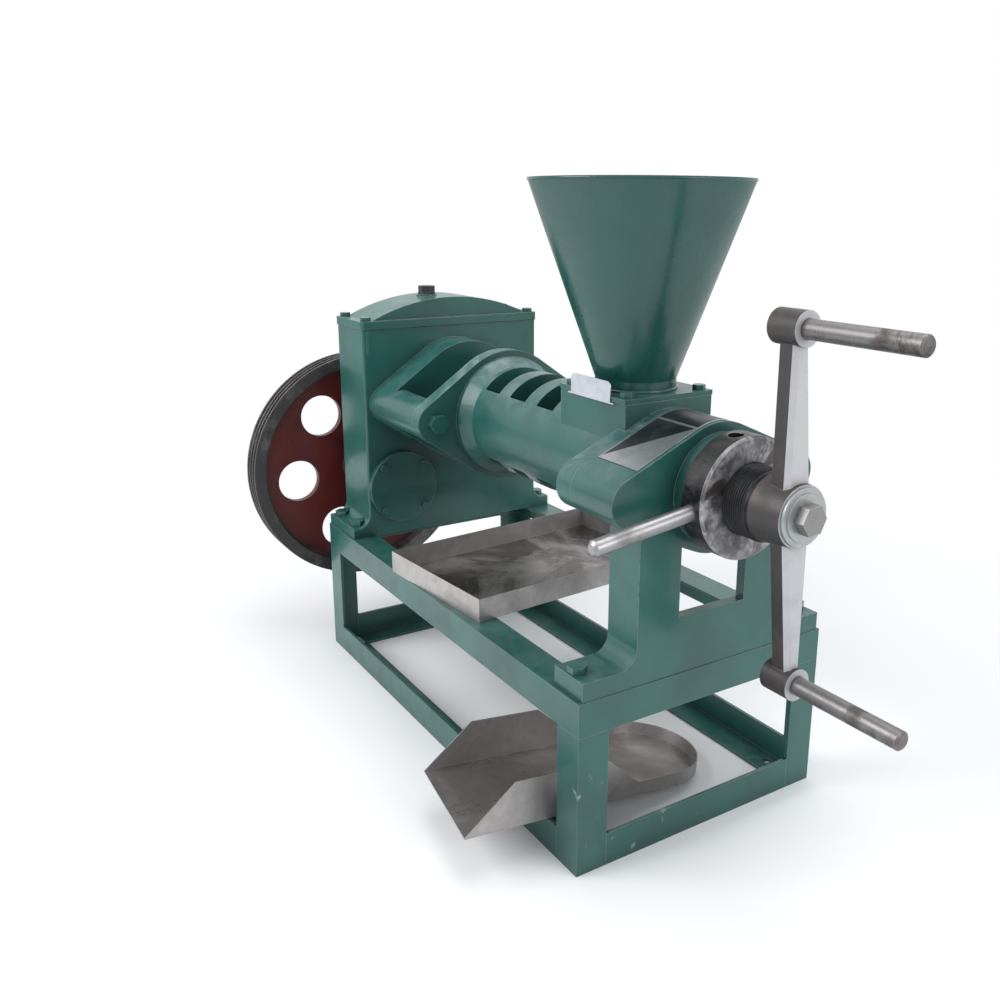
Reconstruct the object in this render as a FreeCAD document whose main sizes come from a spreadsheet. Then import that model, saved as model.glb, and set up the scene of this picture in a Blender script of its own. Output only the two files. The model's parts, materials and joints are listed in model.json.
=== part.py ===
"""Screw oil press on an angle-iron frame, built as a parametric FreeCAD document (millimetres).

Frame of reference: the origin is the middle of the base frame's footprint on the floor, +X runs along
the press axis from the gearbox to the crank, +Y to the far side and +Z up.
"""
import FreeCAD, Part
import math
import os
import re
import Sketcher

Vector = FreeCAD.Vector

# ---------------------------------------------------------------------------------------------------
# Driving sizes. Every entry is one cell of the spreadsheet, in millimetres or degrees.
# ---------------------------------------------------------------------------------------------------
SIZES = {
    # clearances
    "running_fit": 0.05,
    "seat_gap": 0.3,
    "thread_gap": 0.5,
    "hole_gap": 0.5,
    # base frame of angle iron
    "frame_length": 890,
    "frame_width": 450,
    "frame_height": 260,
    "angle_leg": 50,
    "angle_thick": 5,
    "anchor_inset": 65,
    "anchor_hole_r": 6.5,
    "foot_bolt_inset": 20,
    "foot_bolt_r": 8,
    "foot_bolt_span": 38,
    "foot_bolt_flats": 24,
    "foot_bolt_head": 10,
    "foot_nut_height": 13,
    "foot_spot_face_r": 14.5,
    # the press axis and the two-lobed flanges on it
    "axis_rise": 260,
    "lobe_y": 144,
    "lobe_r": 35,
    "cake_core_r": 117,
    "feed_core_r": 92,
    "flange_bolt_r": 10,
    "flange_bolt_flats": 30,
    "flange_bolt_head": 12.5,
    "flange_bolt_length": 88,
    # gearbox casting
    "gearbox_depth": 123,
    "gearbox_width": 376,
    "gearbox_rise": 400,
    "gearbox_wall": 10,
    "gearbox_end_wall": 12,
    "gearbox_floor": 14,
    "gearbox_corner_r": 10,
    "gearbox_foot_width": 444,
    "gearbox_foot_thick": 20,
    "gearbox_foot_fillet": 25,
    "cover_lug_r": 13,
    "casting_edge": 4,
    "main_boss_length": 67,
    "cake_gap": 115,
    "inner_boss_length": 18,
    # gearbox cover
    "gasket_thick": 1,
    "cover_rim": 15,
    "cover_overhang": 2,
    "cover_dome_rise": 38,
    "cover_dome_inset_y": 24,
    "cover_dome_inset_x": 6,
    "cover_skin": 7,
    "cover_bolt_r": 5,
    "cover_bolt_flats": 17,
    "cover_bolt_head": 7,
    "cover_bolt_inset": 12,
    "cover_bolt_length": 34,
    "cover_lug_depth": 45,
    "breather_boss_r": 20,
    "breather_boss_rise": 2,
    "breather_washer_r": 17,
    "breather_washer": 3,
    "breather_flats": 28,
    "breather_height": 13,
    "breather_r": 8,
    "breather_depth": 16,
    "breather_y": 25,
    # gear train
    "gear_module": 4,
    "gear_teeth": 82,
    "pinion_teeth": 20,
    "gear_pressure_angle": 20,
    "gear_backlash": 0.5,
    "gear_face": 42,
    "gear_web": 16,
    "gear_rim": 14,
    "gear_hub_r": 66,
    "gear_start": 38,
    "input_angle": 54.5,
    "hollow_shaft_r": 45,
    "main_bearing_r": 65,
    "main_bearing_width": 25,
    "input_shaft_r": 20,
    "input_bearing_r": 40,
    "input_bearing_width": 18,
    "input_boss_r": 54,
    "main_inner_boss_r": 78,
    "cap_thick": 8,
    "front_cap_thick": 12,
    "front_cap_r": 69,
    "cap_screw_head": 5,
    "cap_screw_head_r": 6.5,
    "cap_screw_length": 20,
    "cap_screw_inset": 9,
    "bearing_shoulder": 5,
    "bearing_chamfer": 1.5,
    "rear_cap_r": 58,
    "main_cap_r": 80,
    "cap_screw_r": 4,
    "seal_width": 10,
    "seal_r": 55,
    "hollow_shaft_inset": 5,
    "hollow_shaft_stop": 7,
    # belt pulley
    "pulley_r": 235,
    "pulley_grooves": 3,
    "groove_pitch": 15,
    "groove_edge": 10,
    "groove_top": 12.7,
    "groove_bottom": 7,
    "groove_depth": 11,
    "groove_land": 4,
    "pulley_rim": 27,
    "pulley_web": 14,
    "pulley_hub_r": 44,
    "pulley_hub_length": 56,
    "pulley_hole_r": 42,
    "pulley_hole_circle": 141,
    "pulley_hole_phase": 7.5,
    "pulley_stand_off": 55,
    "pulley_seat_r": 19,
    "pulley_washer_r": 30,
    "pulley_washer": 5,
    "pulley_bolt_r": 8,
    "pulley_bolt_flats": 24,
    "pulley_bolt_head": 8,
    "pulley_bolt_length": 40,
    "key_width": 10,
    "key_height": 8,
    "key_length": 36,
    # press screw
    "tail_r": 25,
    "core_r": 20,
    "worm_root_r": 25,
    "worm_tip_r": 34.5,
    "worm_pitch": 62,
    "worm_flight_root": 15,
    "worm_flight_tip": 6,
    "collar_r": 34,
    "collar_width": 22,
    "cone_length": 40,
    "cone_small_r": 28,
    "cone_large_r": 35,
    "choke_gap": 3.2,
    "choke_width": 26,
    "thrust_bearing_r": 37,
    "thrust_bearing_width": 22,
    "tail_start": 15,
    "neck_start": 195,
    "screw_neck_r": 29,
    "cone_overhang": 12,
    "flight_start": 11,
    "flight_margin": 10,
    "pilot_length": 46,
    # press barrel
    "flange_thick": 28,
    "barrel_r": 92,
    "neck_r": 106,
    "neck_land": 8,
    "neck_run": 24,
    "front_flange_thick": 33,
    "bar_bore_r": 35.2,
    "bar_outer_r": 50,
    "bar_count": 16,
    "bar_slit": 1.2,
    "bar_length": 278,
    "feed_bore_r": 36,
    "slot_first": 69,
    "slot_width": 48,
    "slot_pitch": 82,
    "slot_angle": 106,
    # feed box, gate and hopper
    "box_length": 160,
    "box_width": 157,
    "box_rise": 100,
    "box_setback": 14,
    "throat_r": 56,
    "throat_depth": 34,
    "throat_length": 92,
    "throat_width": 60,
    "gate_thick": 2,
    "gate_width": 112,
    "gate_reach": 64,
    "tab_width": 96,
    "tab_height": 29,
    "tab_corner_r": 8,
    "gate_slot": 3,
    "hopper_plate": 160,
    "hopper_plate_thick": 7,
    "hopper_bolt_spacing": 132,
    "hopper_bolt_r": 5,
    "hopper_neck_r": 60,
    "hopper_neck_height": 15,
    "hopper_bolt_flats": 17,
    "hopper_bolt_head": 7,
    "hopper_bolt_length": 30,
    "hopper_rim_r": 161,
    "hopper_height": 295,
    "hopper_wall": 2.2,
    # front bracket
    "bracket_setback": 1,
    "head_length": 94,
    "bracket_depth": 66,
    "bracket_web": 16,
    "bracket_leg_span": 262,
    "bracket_window": 120,
    "bracket_sill": 57,
    "bracket_foot_width": 438,
    "bracket_foot_thick": 28,
    "bracket_foot_fillet": 26,
    "head_boss_r": 78,
    "head_boss_length": 18,
    "plate_thick": 1,
    "plate_margin": 5,
    "plate_drop": 109,
    "plate_reach": 28,
    # adjusting screw, lock ring and crank
    "thread_r": 48.7,
    "thread_clear": 12,
    "thread_reach": 102,
    "spigot_r": 25,
    "hub_length": 49,
    "hub_rear_r": 46,
    "hub_front_r": 41,
    "ring_hole_count": 4,
    "crank_key": 8,
    "crank_key_length": 40,
    "ring_r": 84,
    "ring_width": 42,
    "ring_chamfer": 3,
    "tommy_r": 11,
    "tommy_reach": 240,
    "tommy_seat": 28,
    "tommy_angle": 7.5,
    "crank_radius": 232,
    "crank_tilt": 3.5,
    "arm_root_width": 44,
    "arm_tip_width": 24,
    "arm_thick": 26,
    "arm_chamfer": 6,
    "handle_boss_r": 22,
    "handle_boss_length": 45,
    "handle_r": 12.5,
    "handle_reach": 164,
    "washer_r": 38,
    "washer_thick": 4,
    "washer_inner_r": 31,
    "washer_step": 2,
    "crank_bolt_r": 12,
    "crank_bolt_flats": 36,
    "crank_bolt_head": 15,
    "crank_bolt_length": 60,
    # oil tray and cake chute, both of folded sheet
    "tray_length": 275,
    "tray_width": 432,
    "tray_height": 38,
    "tray_sheet": 1.5,
    "tray_x": 8,
    "tray_y": 3,
    "tray_skew": 4.7,
    "chute_width": 183,
    "chute_straight": 389,
    "chute_wall": 69,
    "chute_cup_wall": 22,
    "chute_lip_run": 73,
    "chute_lip_skew": 38,
    "chute_drop_start": 237,
    "chute_drop_end": 303,
    "chute_sheet": 1.5,
    "chute_x": 64,
    "chute_overhang": 137,
    "chute_tilt": 8.7,
    "chute_skew": 2.3,
}

DOCUMENT = FreeCAD.newDocument("screw_oil_press")
SHEET = DOCUMENT.addObject("Spreadsheet::Sheet", "Sizes")
PARTS = []


def fill_sheet():
    """Write every driving size into the sheet, with its alias."""
    for row, (alias, value) in enumerate(SIZES.items(), start=1):
        SHEET.set(f"A{row}", alias)
        SHEET.set(f"B{row}", str(value))
        SHEET.setAlias(f"B{row}", alias)
    DOCUMENT.recompute()


def formula(text):
    """Turn plain size names in a text into references to the sheet."""
    def swap(match):
        word = match.group(0)
        return f"Sizes.{word}" if word in SIZES else word
    return re.sub(r"[a-z][a-z_0-9]*", swap, text)


def number(text):
    """Work out a formula's value now, in millimetres or degrees."""
    return float(SHEET.evalExpression(formula(text)))


def bind(thing, path, text):
    """Tie a property of an object to a formula of sheet sizes."""
    thing.setExpression(path, formula(text))


# ---------------------------------------------------------------------------------------------------
# Stations along the press axis and heights, as formulas of the driving sizes.
# ---------------------------------------------------------------------------------------------------
AXIS = "(frame_height + axis_rise)"
GEARBOX_REAR = "(-frame_length / 2)"
GEARBOX_FRONT = f"({GEARBOX_REAR} + gearbox_depth)"
GEARBOX_MIDDLE = f"({GEARBOX_REAR} + gearbox_depth / 2)"
GEARBOX_TOP = "(frame_height + gearbox_rise)"
BOSS_END = f"({GEARBOX_FRONT} + main_boss_length)"
BARREL_REAR = f"({BOSS_END} + cake_gap)"
BARS_START = f"({BARREL_REAR} + choke_width)"
BARS_END = f"({BARS_START} + bar_length)"
HEAD_FRONT = "(frame_length / 2 - bracket_setback)"
HEAD_REAR = f"({HEAD_FRONT} - head_length)"
BOX_FRONT = f"({HEAD_REAR} - box_setback)"
BOX_REAR = f"({BOX_FRONT} - box_length)"
BOX_MIDDLE = f"({BOX_FRONT} - box_length / 2)"
BOX_TOP = f"({AXIS} + box_rise)"
PLATE_BOTTOM = f"({BOX_TOP} + gate_slot)"
PLATE_TOP = f"({BOX_TOP} + gate_slot + hopper_plate_thick)"
SLEEVE_REAR = f"({HEAD_REAR} + thread_clear)"
HUB_REAR = f"({HEAD_FRONT} + thread_reach)"
HUB_FRONT = f"({HUB_REAR} + hub_length)"
RING_REAR = f"({HEAD_FRONT} + head_boss_length + seat_gap)"
RING_MIDDLE = f"({RING_REAR} + ring_width / 2)"
THRUST_FRONT = f"({SLEEVE_REAR} + thrust_bearing_width)"
COLLAR_FRONT = f"({SLEEVE_REAR} - running_fit)"
COLLAR_REAR = f"({COLLAR_FRONT} - collar_width)"
CENTRES = "(gear_module * (gear_teeth + pinion_teeth) / 2)"
INPUT_Y = f"(-{CENTRES} * cos(input_angle))"
INPUT_Z = f"({AXIS} - {CENTRES} * sin(input_angle))"
GEAR_REAR = f"({GEARBOX_REAR} + gear_start)"
PULLEY_FRONT = f"({GEARBOX_REAR} - pulley_stand_off)"
PULLEY_WIDTH = "(2 * groove_edge + (pulley_grooves - 1) * groove_pitch)"
PULLEY_REAR = f"({PULLEY_FRONT} - {PULLEY_WIDTH})"
CONE_REAR = f"({BARREL_REAR} + seat_gap)"


# ---------------------------------------------------------------------------------------------------
# Modelling helpers
# ---------------------------------------------------------------------------------------------------
def place(thing, x="0", y="0", z="0", yaw="0", pitch="0", roll="0"):
    """Bind an object's whole placement to formulas."""
    vector = f"create(<<vector>>; {x}; {y}; {z})"
    turn = f"create(<<rotation>>; {yaw}; {pitch}; {roll})"
    bind(thing, "Placement", f"create(<<placement>>; {vector}; {turn})")


def new_body(name, **where):
    """Start a sub-part as a PartDesign body and keep it for export."""
    body = DOCUMENT.addObject("PartDesign::Body", name)
    body.Label = name
    place(body, **where)
    PARTS.append(body)
    return body


def new_sketch(body, plane, offset="0"):
    """Attach a sketch to one of the body's origin planes, shifted along the plane's normal."""
    sketch = body.newObject("Sketcher::SketchObject", f"{body.Name}_sketch")
    for feature in body.Origin.OriginFeatures:
        if feature.Role == f"{plane}_Plane":
            sketch.AttachmentSupport = (feature, [""])
    sketch.MapMode = "FlatFace"
    bind(sketch, "AttachmentOffset.Base.z", offset)
    return sketch


def pin_point(sketch, index, position, x, y):
    """Hold one point of a sketch at the formulas x and y from the sketch's origin."""
    for kind, text in (("DistanceX", x), ("DistanceY", y)):
        row = sketch.addConstraint(Sketcher.Constraint(kind, -1, 1, index, position, number(text)))
        bind(sketch, f"Constraints[{row}]", text)


def draw_polygon(sketch, points):
    """Draw a closed polygon whose corners are pairs of formulas."""
    first = sketch.GeometryCount
    count = len(points)
    spots = [Vector(number(x), number(y), 0) for x, y in points]
    for index in range(count):
        sketch.addGeometry(Part.LineSegment(spots[index], spots[(index + 1) % count]))
    for index in range(count):
        following = first + (index + 1) % count
        sketch.addConstraint(Sketcher.Constraint("Coincident", first + index, 2, following, 1))
    for index, (x, y) in enumerate(points):
        pin_point(sketch, first + index, 1, x, y)


def draw_rectangle(sketch, left, bottom, right, top):
    """Draw a rectangle between two corners."""
    draw_polygon(sketch, [(left, bottom), (right, bottom), (right, top), (left, top)])


def draw_circle(sketch, x, y, radius):
    """Draw a circle of a bound radius about a bound centre."""
    index = sketch.addGeometry(Part.Circle(Vector(number(x), number(y), 0), Vector(0, 0, 1), number(radius)))
    pin_point(sketch, index, 3, x, y)
    row = sketch.addConstraint(Sketcher.Constraint("Radius", index, number(radius)))
    bind(sketch, f"Constraints[{row}]", radius)


def draw_hexagon(sketch, x, y, flats):
    """Draw a hexagon of a given width across its flats."""
    corners = []
    for corner in range(6):
        angle = 60 * corner
        corners.append((f"{x} + {flats} / sqrt(3) * cos({angle})", f"{y} + {flats} / sqrt(3) * sin({angle})"))
    draw_polygon(sketch, corners)


def close_loop(sketch, first, count, tangent=True):
    """Join consecutive curves end to end, tangentially where asked."""
    kind = "Tangent" if tangent else "Coincident"
    for index in range(count):
        following = first + (index + 1) % count
        sketch.addConstraint(Sketcher.Constraint(kind, first + index, 2, following, 1))


def add_arc(sketch, centre, radius, start, end):
    """Add an arc that runs anticlockwise between two angles in degrees."""
    circle = Part.Circle(centre, Vector(0, 0, 1), radius)
    return sketch.addGeometry(Part.ArcOfCircle(circle, math.radians(start), math.radians(end)))


def set_radius(sketch, index, text):
    """Bind an arc's radius."""
    row = sketch.addConstraint(Sketcher.Constraint("Radius", index, number(text)))
    bind(sketch, f"Constraints[{row}]", text)


def draw_lobed_flange(sketch, core_radius, height="0"):
    """Draw the two-lobed flange: a round core joined by tangents to a bolt lobe on each side."""
    core = number(core_radius)
    lobe = number("lobe_r")
    reach = number("lobe_y")
    z = number(height)
    lean = math.degrees(math.asin((core - lobe) / reach))
    centres = (Vector(reach, z, 0), Vector(0, z, 0), Vector(-reach, z, 0), Vector(0, z, 0))
    radii = (lobe, core, lobe, core)
    spans = ((lean - 90, 90 - lean), (90 - lean, 90 + lean), (90 + lean, 270 - lean), (270 - lean, 270 + lean))

    def on_rim(arc, angle):
        turn = math.radians(angle)
        return centres[arc] + Vector(math.cos(turn), math.sin(turn), 0) * radii[arc]

    first = sketch.GeometryCount
    for arc in range(4):
        add_arc(sketch, centres[arc], radii[arc], *spans[arc])
        following = (arc + 1) % 4
        sketch.addGeometry(Part.LineSegment(on_rim(arc, spans[arc][1]), on_rim(following, spans[following][0])))
    close_loop(sketch, first, 8)
    for arc, (text, x) in enumerate(((("lobe_r"), "lobe_y"), (core_radius, "0"), ("lobe_r", "-lobe_y"))):
        set_radius(sketch, first + 2 * arc, text)
        pin_point(sketch, first + 2 * arc, 3, x, height)
    set_radius(sketch, first + 6, core_radius)
    pin_point(sketch, first + 6, 3, "0", height)


def draw_rounded_rectangle(sketch, left, bottom, right, top, radius):
    """Draw a rectangle whose four corners are rounded."""
    x0, y0, x1, y1 = (number(text) for text in (left, bottom, right, top))
    r = number(radius)
    corners = (
        (f"{right} - {radius}", f"{bottom} + {radius}", 270),
        (f"{right} - {radius}", f"{top} - {radius}", 0),
        (f"{left} + {radius}", f"{top} - {radius}", 90),
        (f"{left} + {radius}", f"{bottom} + {radius}", 180),
    )
    ends = (
        (Vector(x1, y0 + r, 0), Vector(x1, y1 - r, 0)),
        (Vector(x1 - r, y1, 0), Vector(x0 + r, y1, 0)),
        (Vector(x0, y1 - r, 0), Vector(x0, y0 + r, 0)),
        (Vector(x0 + r, y0, 0), Vector(x1 - r, y0, 0)),
    )
    first = sketch.GeometryCount
    for (x, y, start), (line_start, line_end) in zip(corners, ends):
        add_arc(sketch, Vector(number(x), number(y), 0), r, start, start + 90)
        sketch.addGeometry(Part.LineSegment(line_start, line_end))
    close_loop(sketch, first, 8)
    for corner, (x, y, _) in enumerate(corners):
        pin_point(sketch, first + 2 * corner, 3, x, y)
        set_radius(sketch, first + 2 * corner, radius)


def draw_arch(sketch, half_span, foot, spring, rise):
    """Draw a closed arch: a floor line, two upright sides and a round top of a given rise."""
    span = number(half_span)
    bottom = number(foot)
    top = number(spring)
    height = number(rise)
    radius = (span ** 2 + height ** 2) / (2 * height)
    centre = Vector(0, top + height - radius, 0)
    angle = math.degrees(math.asin(span / radius))
    first = sketch.GeometryCount
    sketch.addGeometry(Part.LineSegment(Vector(-span, bottom, 0), Vector(span, bottom, 0)))
    sketch.addGeometry(Part.LineSegment(Vector(span, bottom, 0), Vector(span, top, 0)))
    add_arc(sketch, centre, radius, 90 - angle, 90 + angle)
    sketch.addGeometry(Part.LineSegment(Vector(-span, top, 0), Vector(-span, bottom, 0)))
    close_loop(sketch, first, 4, tangent=False)
    pin_point(sketch, first, 1, f"-{half_span}", foot)
    pin_point(sketch, first, 2, half_span, foot)
    pin_point(sketch, first + 1, 2, half_span, spring)
    pin_point(sketch, first + 3, 1, f"-{half_span}", spring)
    set_radius(sketch, first + 2, f"(({half_span})^2 + ({rise})^2) / (2 * {rise})")


def pad(body, sketch, length, reverse=False):
    """Extrude a sketch along its plane's normal."""
    feature = body.newObject("PartDesign::Pad", f"{body.Name}_pad")
    feature.Profile = sketch
    feature.Reversed = reverse
    bind(feature, "Length", length)
    return feature


def check_cut(body, before, feature):
    """Make sure that a cut has taken material away."""
    DOCUMENT.recompute()
    if body.Shape.Volume > before - 1e-3:
        raise RuntimeError(f"{feature.Name} of {body.Name} cuts nothing")


def pocket(body, sketch, length, along=True):
    """Cut a sketch into the body, along its plane's normal or against it."""
    DOCUMENT.recompute()
    before = body.Shape.Volume
    feature = body.newObject("PartDesign::Pocket", f"{body.Name}_pocket")
    feature.Profile = sketch
    feature.Reversed = along
    bind(feature, "Length", length)
    check_cut(body, before, feature)
    return feature


def revolve(body, sketch, axis="H_Axis"):
    """Turn a sketch once round one of its own axes."""
    feature = body.newObject("PartDesign::Revolution", f"{body.Name}_revolution")
    feature.Profile = sketch
    feature.ReferenceAxis = (sketch, [axis])
    feature.Angle = 360
    return feature


def turned(name, points, **where):
    """Make a turned part from a profile of (x, radius) formulas about its own X axis."""
    body = new_body(name, **where)
    sketch = new_sketch(body, "XZ")
    draw_polygon(sketch, points)
    revolve(body, sketch)
    return body


def ring_profile(start, length, inner, outer, chamfer=None):
    """Give the profile of a plain ring, with chamfered outer corners where asked."""
    end = f"{start} + {length}"
    if chamfer is None:
        return [(start, inner), (end, inner), (end, outer), (start, outer)]
    return [(start, inner), (end, inner), (end, f"{outer} - {chamfer}"), (f"{end} - {chamfer}", outer),
            (f"{start} + {chamfer}", outer), (start, f"{outer} - {chamfer}")]


def drill(body, plane, start, places, radius, depth, along=True):
    """Drill equal round holes at several places of a plane."""
    sketch = new_sketch(body, plane, start)
    for x, y in places:
        draw_circle(sketch, x, y, radius)
    return pocket(body, sketch, depth, along)


def fillet_edges(body, feature, radius, choose):
    """Round the edges of a feature that a test picks by their middle point and direction."""
    DOCUMENT.recompute()
    names = []
    for index, edge in enumerate(feature.Shape.Edges, start=1):
        middle = edge.valueAt((edge.FirstParameter + edge.LastParameter) / 2)
        if choose(middle, edge):
            names.append(f"Edge{index}")
    if not names:
        raise RuntimeError(f"no edge to round on {body.Name}")
    rounding = body.newObject("PartDesign::Fillet", f"{body.Name}_fillet")
    rounding.Base = (feature, names)
    bind(rounding, "Radius", radius)
    return rounding


def runs_along(edge, direction):
    """Tell whether a straight edge runs along a direction."""
    if edge.Curve.TypeId != "Part::GeomLine":
        return False
    return abs(edge.Curve.Direction.dot(direction)) > 0.999


def hex_bolts(name, plane, seat, places, flats, head, shank_radius, shank_length, outwards=True, **where):
    """Make a group of equal hexagon bolts, one separate solid each.

    The heads stand on the seat plane, on the side of its normal where outwards is true, and the shanks
    run the other way.
    """
    body = new_body(name, **where)
    sketch = new_sketch(body, plane, seat)
    for x, y in places:
        draw_hexagon(sketch, x, y, flats)
    pad(body, sketch, head, not outwards)
    sketch = new_sketch(body, plane, seat)
    for x, y in places:
        draw_circle(sketch, x, y, shank_radius)
    pad(body, sketch, shank_length, outwards)
    return body


def mirrored_places(x, y):
    """Give the four places at plus and minus x and y about the origin."""
    return [(f"{a}({x})", f"{b}({y})") for a in ("", "-") for b in ("", "-")]


def circle_places(x, y, radius, angles):
    """Give places on a circle at several angles in degrees."""
    return [(f"{x} + {radius} * cos({angle})", f"{y} + {radius} * sin({angle})") for angle in angles]


# ---------------------------------------------------------------------------------------------------
# Base frame
# ---------------------------------------------------------------------------------------------------
HALF_LENGTH = "(frame_length / 2)"
HALF_WIDTH = "(frame_width / 2)"
FOOT_BOLT_Y = "(frame_width / 2 - foot_bolt_inset)"
BRACKET_BOLT_X = f"({HEAD_FRONT} - bracket_depth / 2)"
GEARBOX_BOLT_X = f"(gearbox_depth / 2 - 24)"
ANCHOR_X = f"({HALF_LENGTH} - anchor_inset)"
ANCHOR_Y = f"({HALF_WIDTH} - angle_leg / 2)"


def foot_bolt_places(x_values):
    """Give the bolt places on both side rails at several stations."""
    return [(x, f"{side}{FOOT_BOLT_Y}") for x in x_values for side in ("", "-")]


BRACKET_FOOT_BOLTS = foot_bolt_places([BRACKET_BOLT_X])
GEARBOX_FOOT_BOLTS = foot_bolt_places([f"({GEARBOX_MIDDLE} + foot_bolt_span)", f"({GEARBOX_MIDDLE} - foot_bolt_span)"])


def make_legs():
    """Four corner legs of angle, under the top rails."""
    body = new_body("frame_legs")
    sketch = new_sketch(body, "XY")
    for a in ("", "-"):
        for b in ("", "-"):
            draw_polygon(sketch, [
                (f"{a}{HALF_LENGTH}", f"{b}{HALF_WIDTH}"),
                (f"{a}({HALF_LENGTH} - angle_leg)", f"{b}{HALF_WIDTH}"),
                (f"{a}({HALF_LENGTH} - angle_leg)", f"{b}({HALF_WIDTH} - angle_thick)"),
                (f"{a}({HALF_LENGTH} - angle_thick)", f"{b}({HALF_WIDTH} - angle_thick)"),
                (f"{a}({HALF_LENGTH} - angle_thick)", f"{b}({HALF_WIDTH} - angle_leg)"),
                (f"{a}{HALF_LENGTH}", f"{b}({HALF_WIDTH} - angle_leg)"),
            ])
    pad(body, sketch, "frame_height - angle_leg")


def draw_mitred_rails(sketch, inset, along_x):
    """Draw both mitred rails of one direction, as wide as the inset."""
    for side in ("", "-"):
        if along_x:
            draw_polygon(sketch, [
                (f"-{HALF_LENGTH}", f"{side}{HALF_WIDTH}"),
                (HALF_LENGTH, f"{side}{HALF_WIDTH}"),
                (f"{HALF_LENGTH} - {inset}", f"{side}({HALF_WIDTH} - {inset})"),
                (f"{inset} - {HALF_LENGTH}", f"{side}({HALF_WIDTH} - {inset})"),
            ])
        else:
            draw_polygon(sketch, [
                (f"{side}{HALF_LENGTH}", f"-{HALF_WIDTH}"),
                (f"{side}{HALF_LENGTH}", HALF_WIDTH),
                (f"{side}({HALF_LENGTH} - {inset})", f"{HALF_WIDTH} - {inset}"),
                (f"{side}({HALF_LENGTH} - {inset})", f"{inset} - {HALF_WIDTH}"),
            ])


def make_top_rails(name, along_x):
    """Mitred top rails: an upright outer leg and a flat leg on top."""
    body = new_body(name)
    sketch = new_sketch(body, "XY", "frame_height - angle_leg")
    draw_mitred_rails(sketch, "angle_thick", along_x)
    pad(body, sketch, "angle_leg")
    sketch = new_sketch(body, "XY", "frame_height - angle_thick")
    draw_mitred_rails(sketch, "angle_leg", along_x)
    pad(body, sketch, "angle_thick")
    return body


def make_bottom_rails(name, along_x):
    """Bottom rails between the legs: an upright outer leg and a flat leg on the floor."""
    body = new_body(name)
    for depth, height in (("angle_thick", "angle_leg"), ("angle_leg", "angle_thick")):
        sketch = new_sketch(body, "XY")
        for side in ("", "-"):
            if along_x:
                draw_rectangle(sketch, f"angle_leg - {HALF_LENGTH}", f"{side}({HALF_WIDTH} - {depth})",
                               f"{HALF_LENGTH} - angle_leg", f"{side}{HALF_WIDTH}")
            else:
                draw_rectangle(sketch, f"{side}({HALF_LENGTH} - {depth})", f"angle_leg - {HALF_WIDTH}",
                               f"{side}{HALF_LENGTH}", f"{HALF_WIDTH} - angle_leg")
        pad(body, sketch, height)
    return body


def make_frame():
    """The welded angle-iron frame, member by member."""
    make_legs()
    side_rails = make_top_rails("frame_top_side_rails", True)
    drill(side_rails, "XY", "frame_height", BRACKET_FOOT_BOLTS + GEARBOX_FOOT_BOLTS,
          "foot_bolt_r + hole_gap", "angle_thick", along=False)
    end_rails = make_top_rails("frame_top_end_rails", False)
    drill(end_rails, "XY", "frame_height", foot_bolt_places([f"({GEARBOX_MIDDLE} - foot_bolt_span)"]),
          "foot_bolt_r + hole_gap", "angle_thick", along=False)
    bottom_rails = make_bottom_rails("frame_bottom_side_rails", True)
    drill(bottom_rails, "XY", "0", mirrored_places(ANCHOR_X, ANCHOR_Y), "anchor_hole_r", "angle_thick")
    make_bottom_rails("frame_bottom_end_rails", False)


# ---------------------------------------------------------------------------------------------------
# Gearbox
# ---------------------------------------------------------------------------------------------------
GASKET_TOP = f"({GEARBOX_TOP} + gasket_thick)"
RIM_TOP = f"({GASKET_TOP} + cover_rim)"
HALF_BOX = "(gearbox_width / 2)"
HALF_FOOT = "(gearbox_foot_width / 2)"
COVER_BOLT_X = "(gearbox_depth / 2 - cover_bolt_inset)"
COVER_BOLT_Y = "(gearbox_width / 2 - cover_bolt_inset)"
FRONT_WALL_INSIDE = f"({GEARBOX_FRONT} - gearbox_end_wall)"
REAR_WALL_INSIDE = f"({GEARBOX_REAR} + gearbox_end_wall)"
MAIN_AXIS = ("0", AXIS)
INPUT_AXIS = (INPUT_Y, INPUT_Z)


def cover_bolt_places():
    """Give the four corner places of the cover's bolts."""
    return [(f"{GEARBOX_MIDDLE} + {a}{COVER_BOLT_X}", f"{b}{COVER_BOLT_Y}") for a in ("1 * ", "-1 * ") for b in ("", "-")]


def bored(body, start, centre, radius, depth):
    """Bore one round hole along +X from a station."""
    return drill(body, "YZ", start, [centre], radius, depth)


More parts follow.
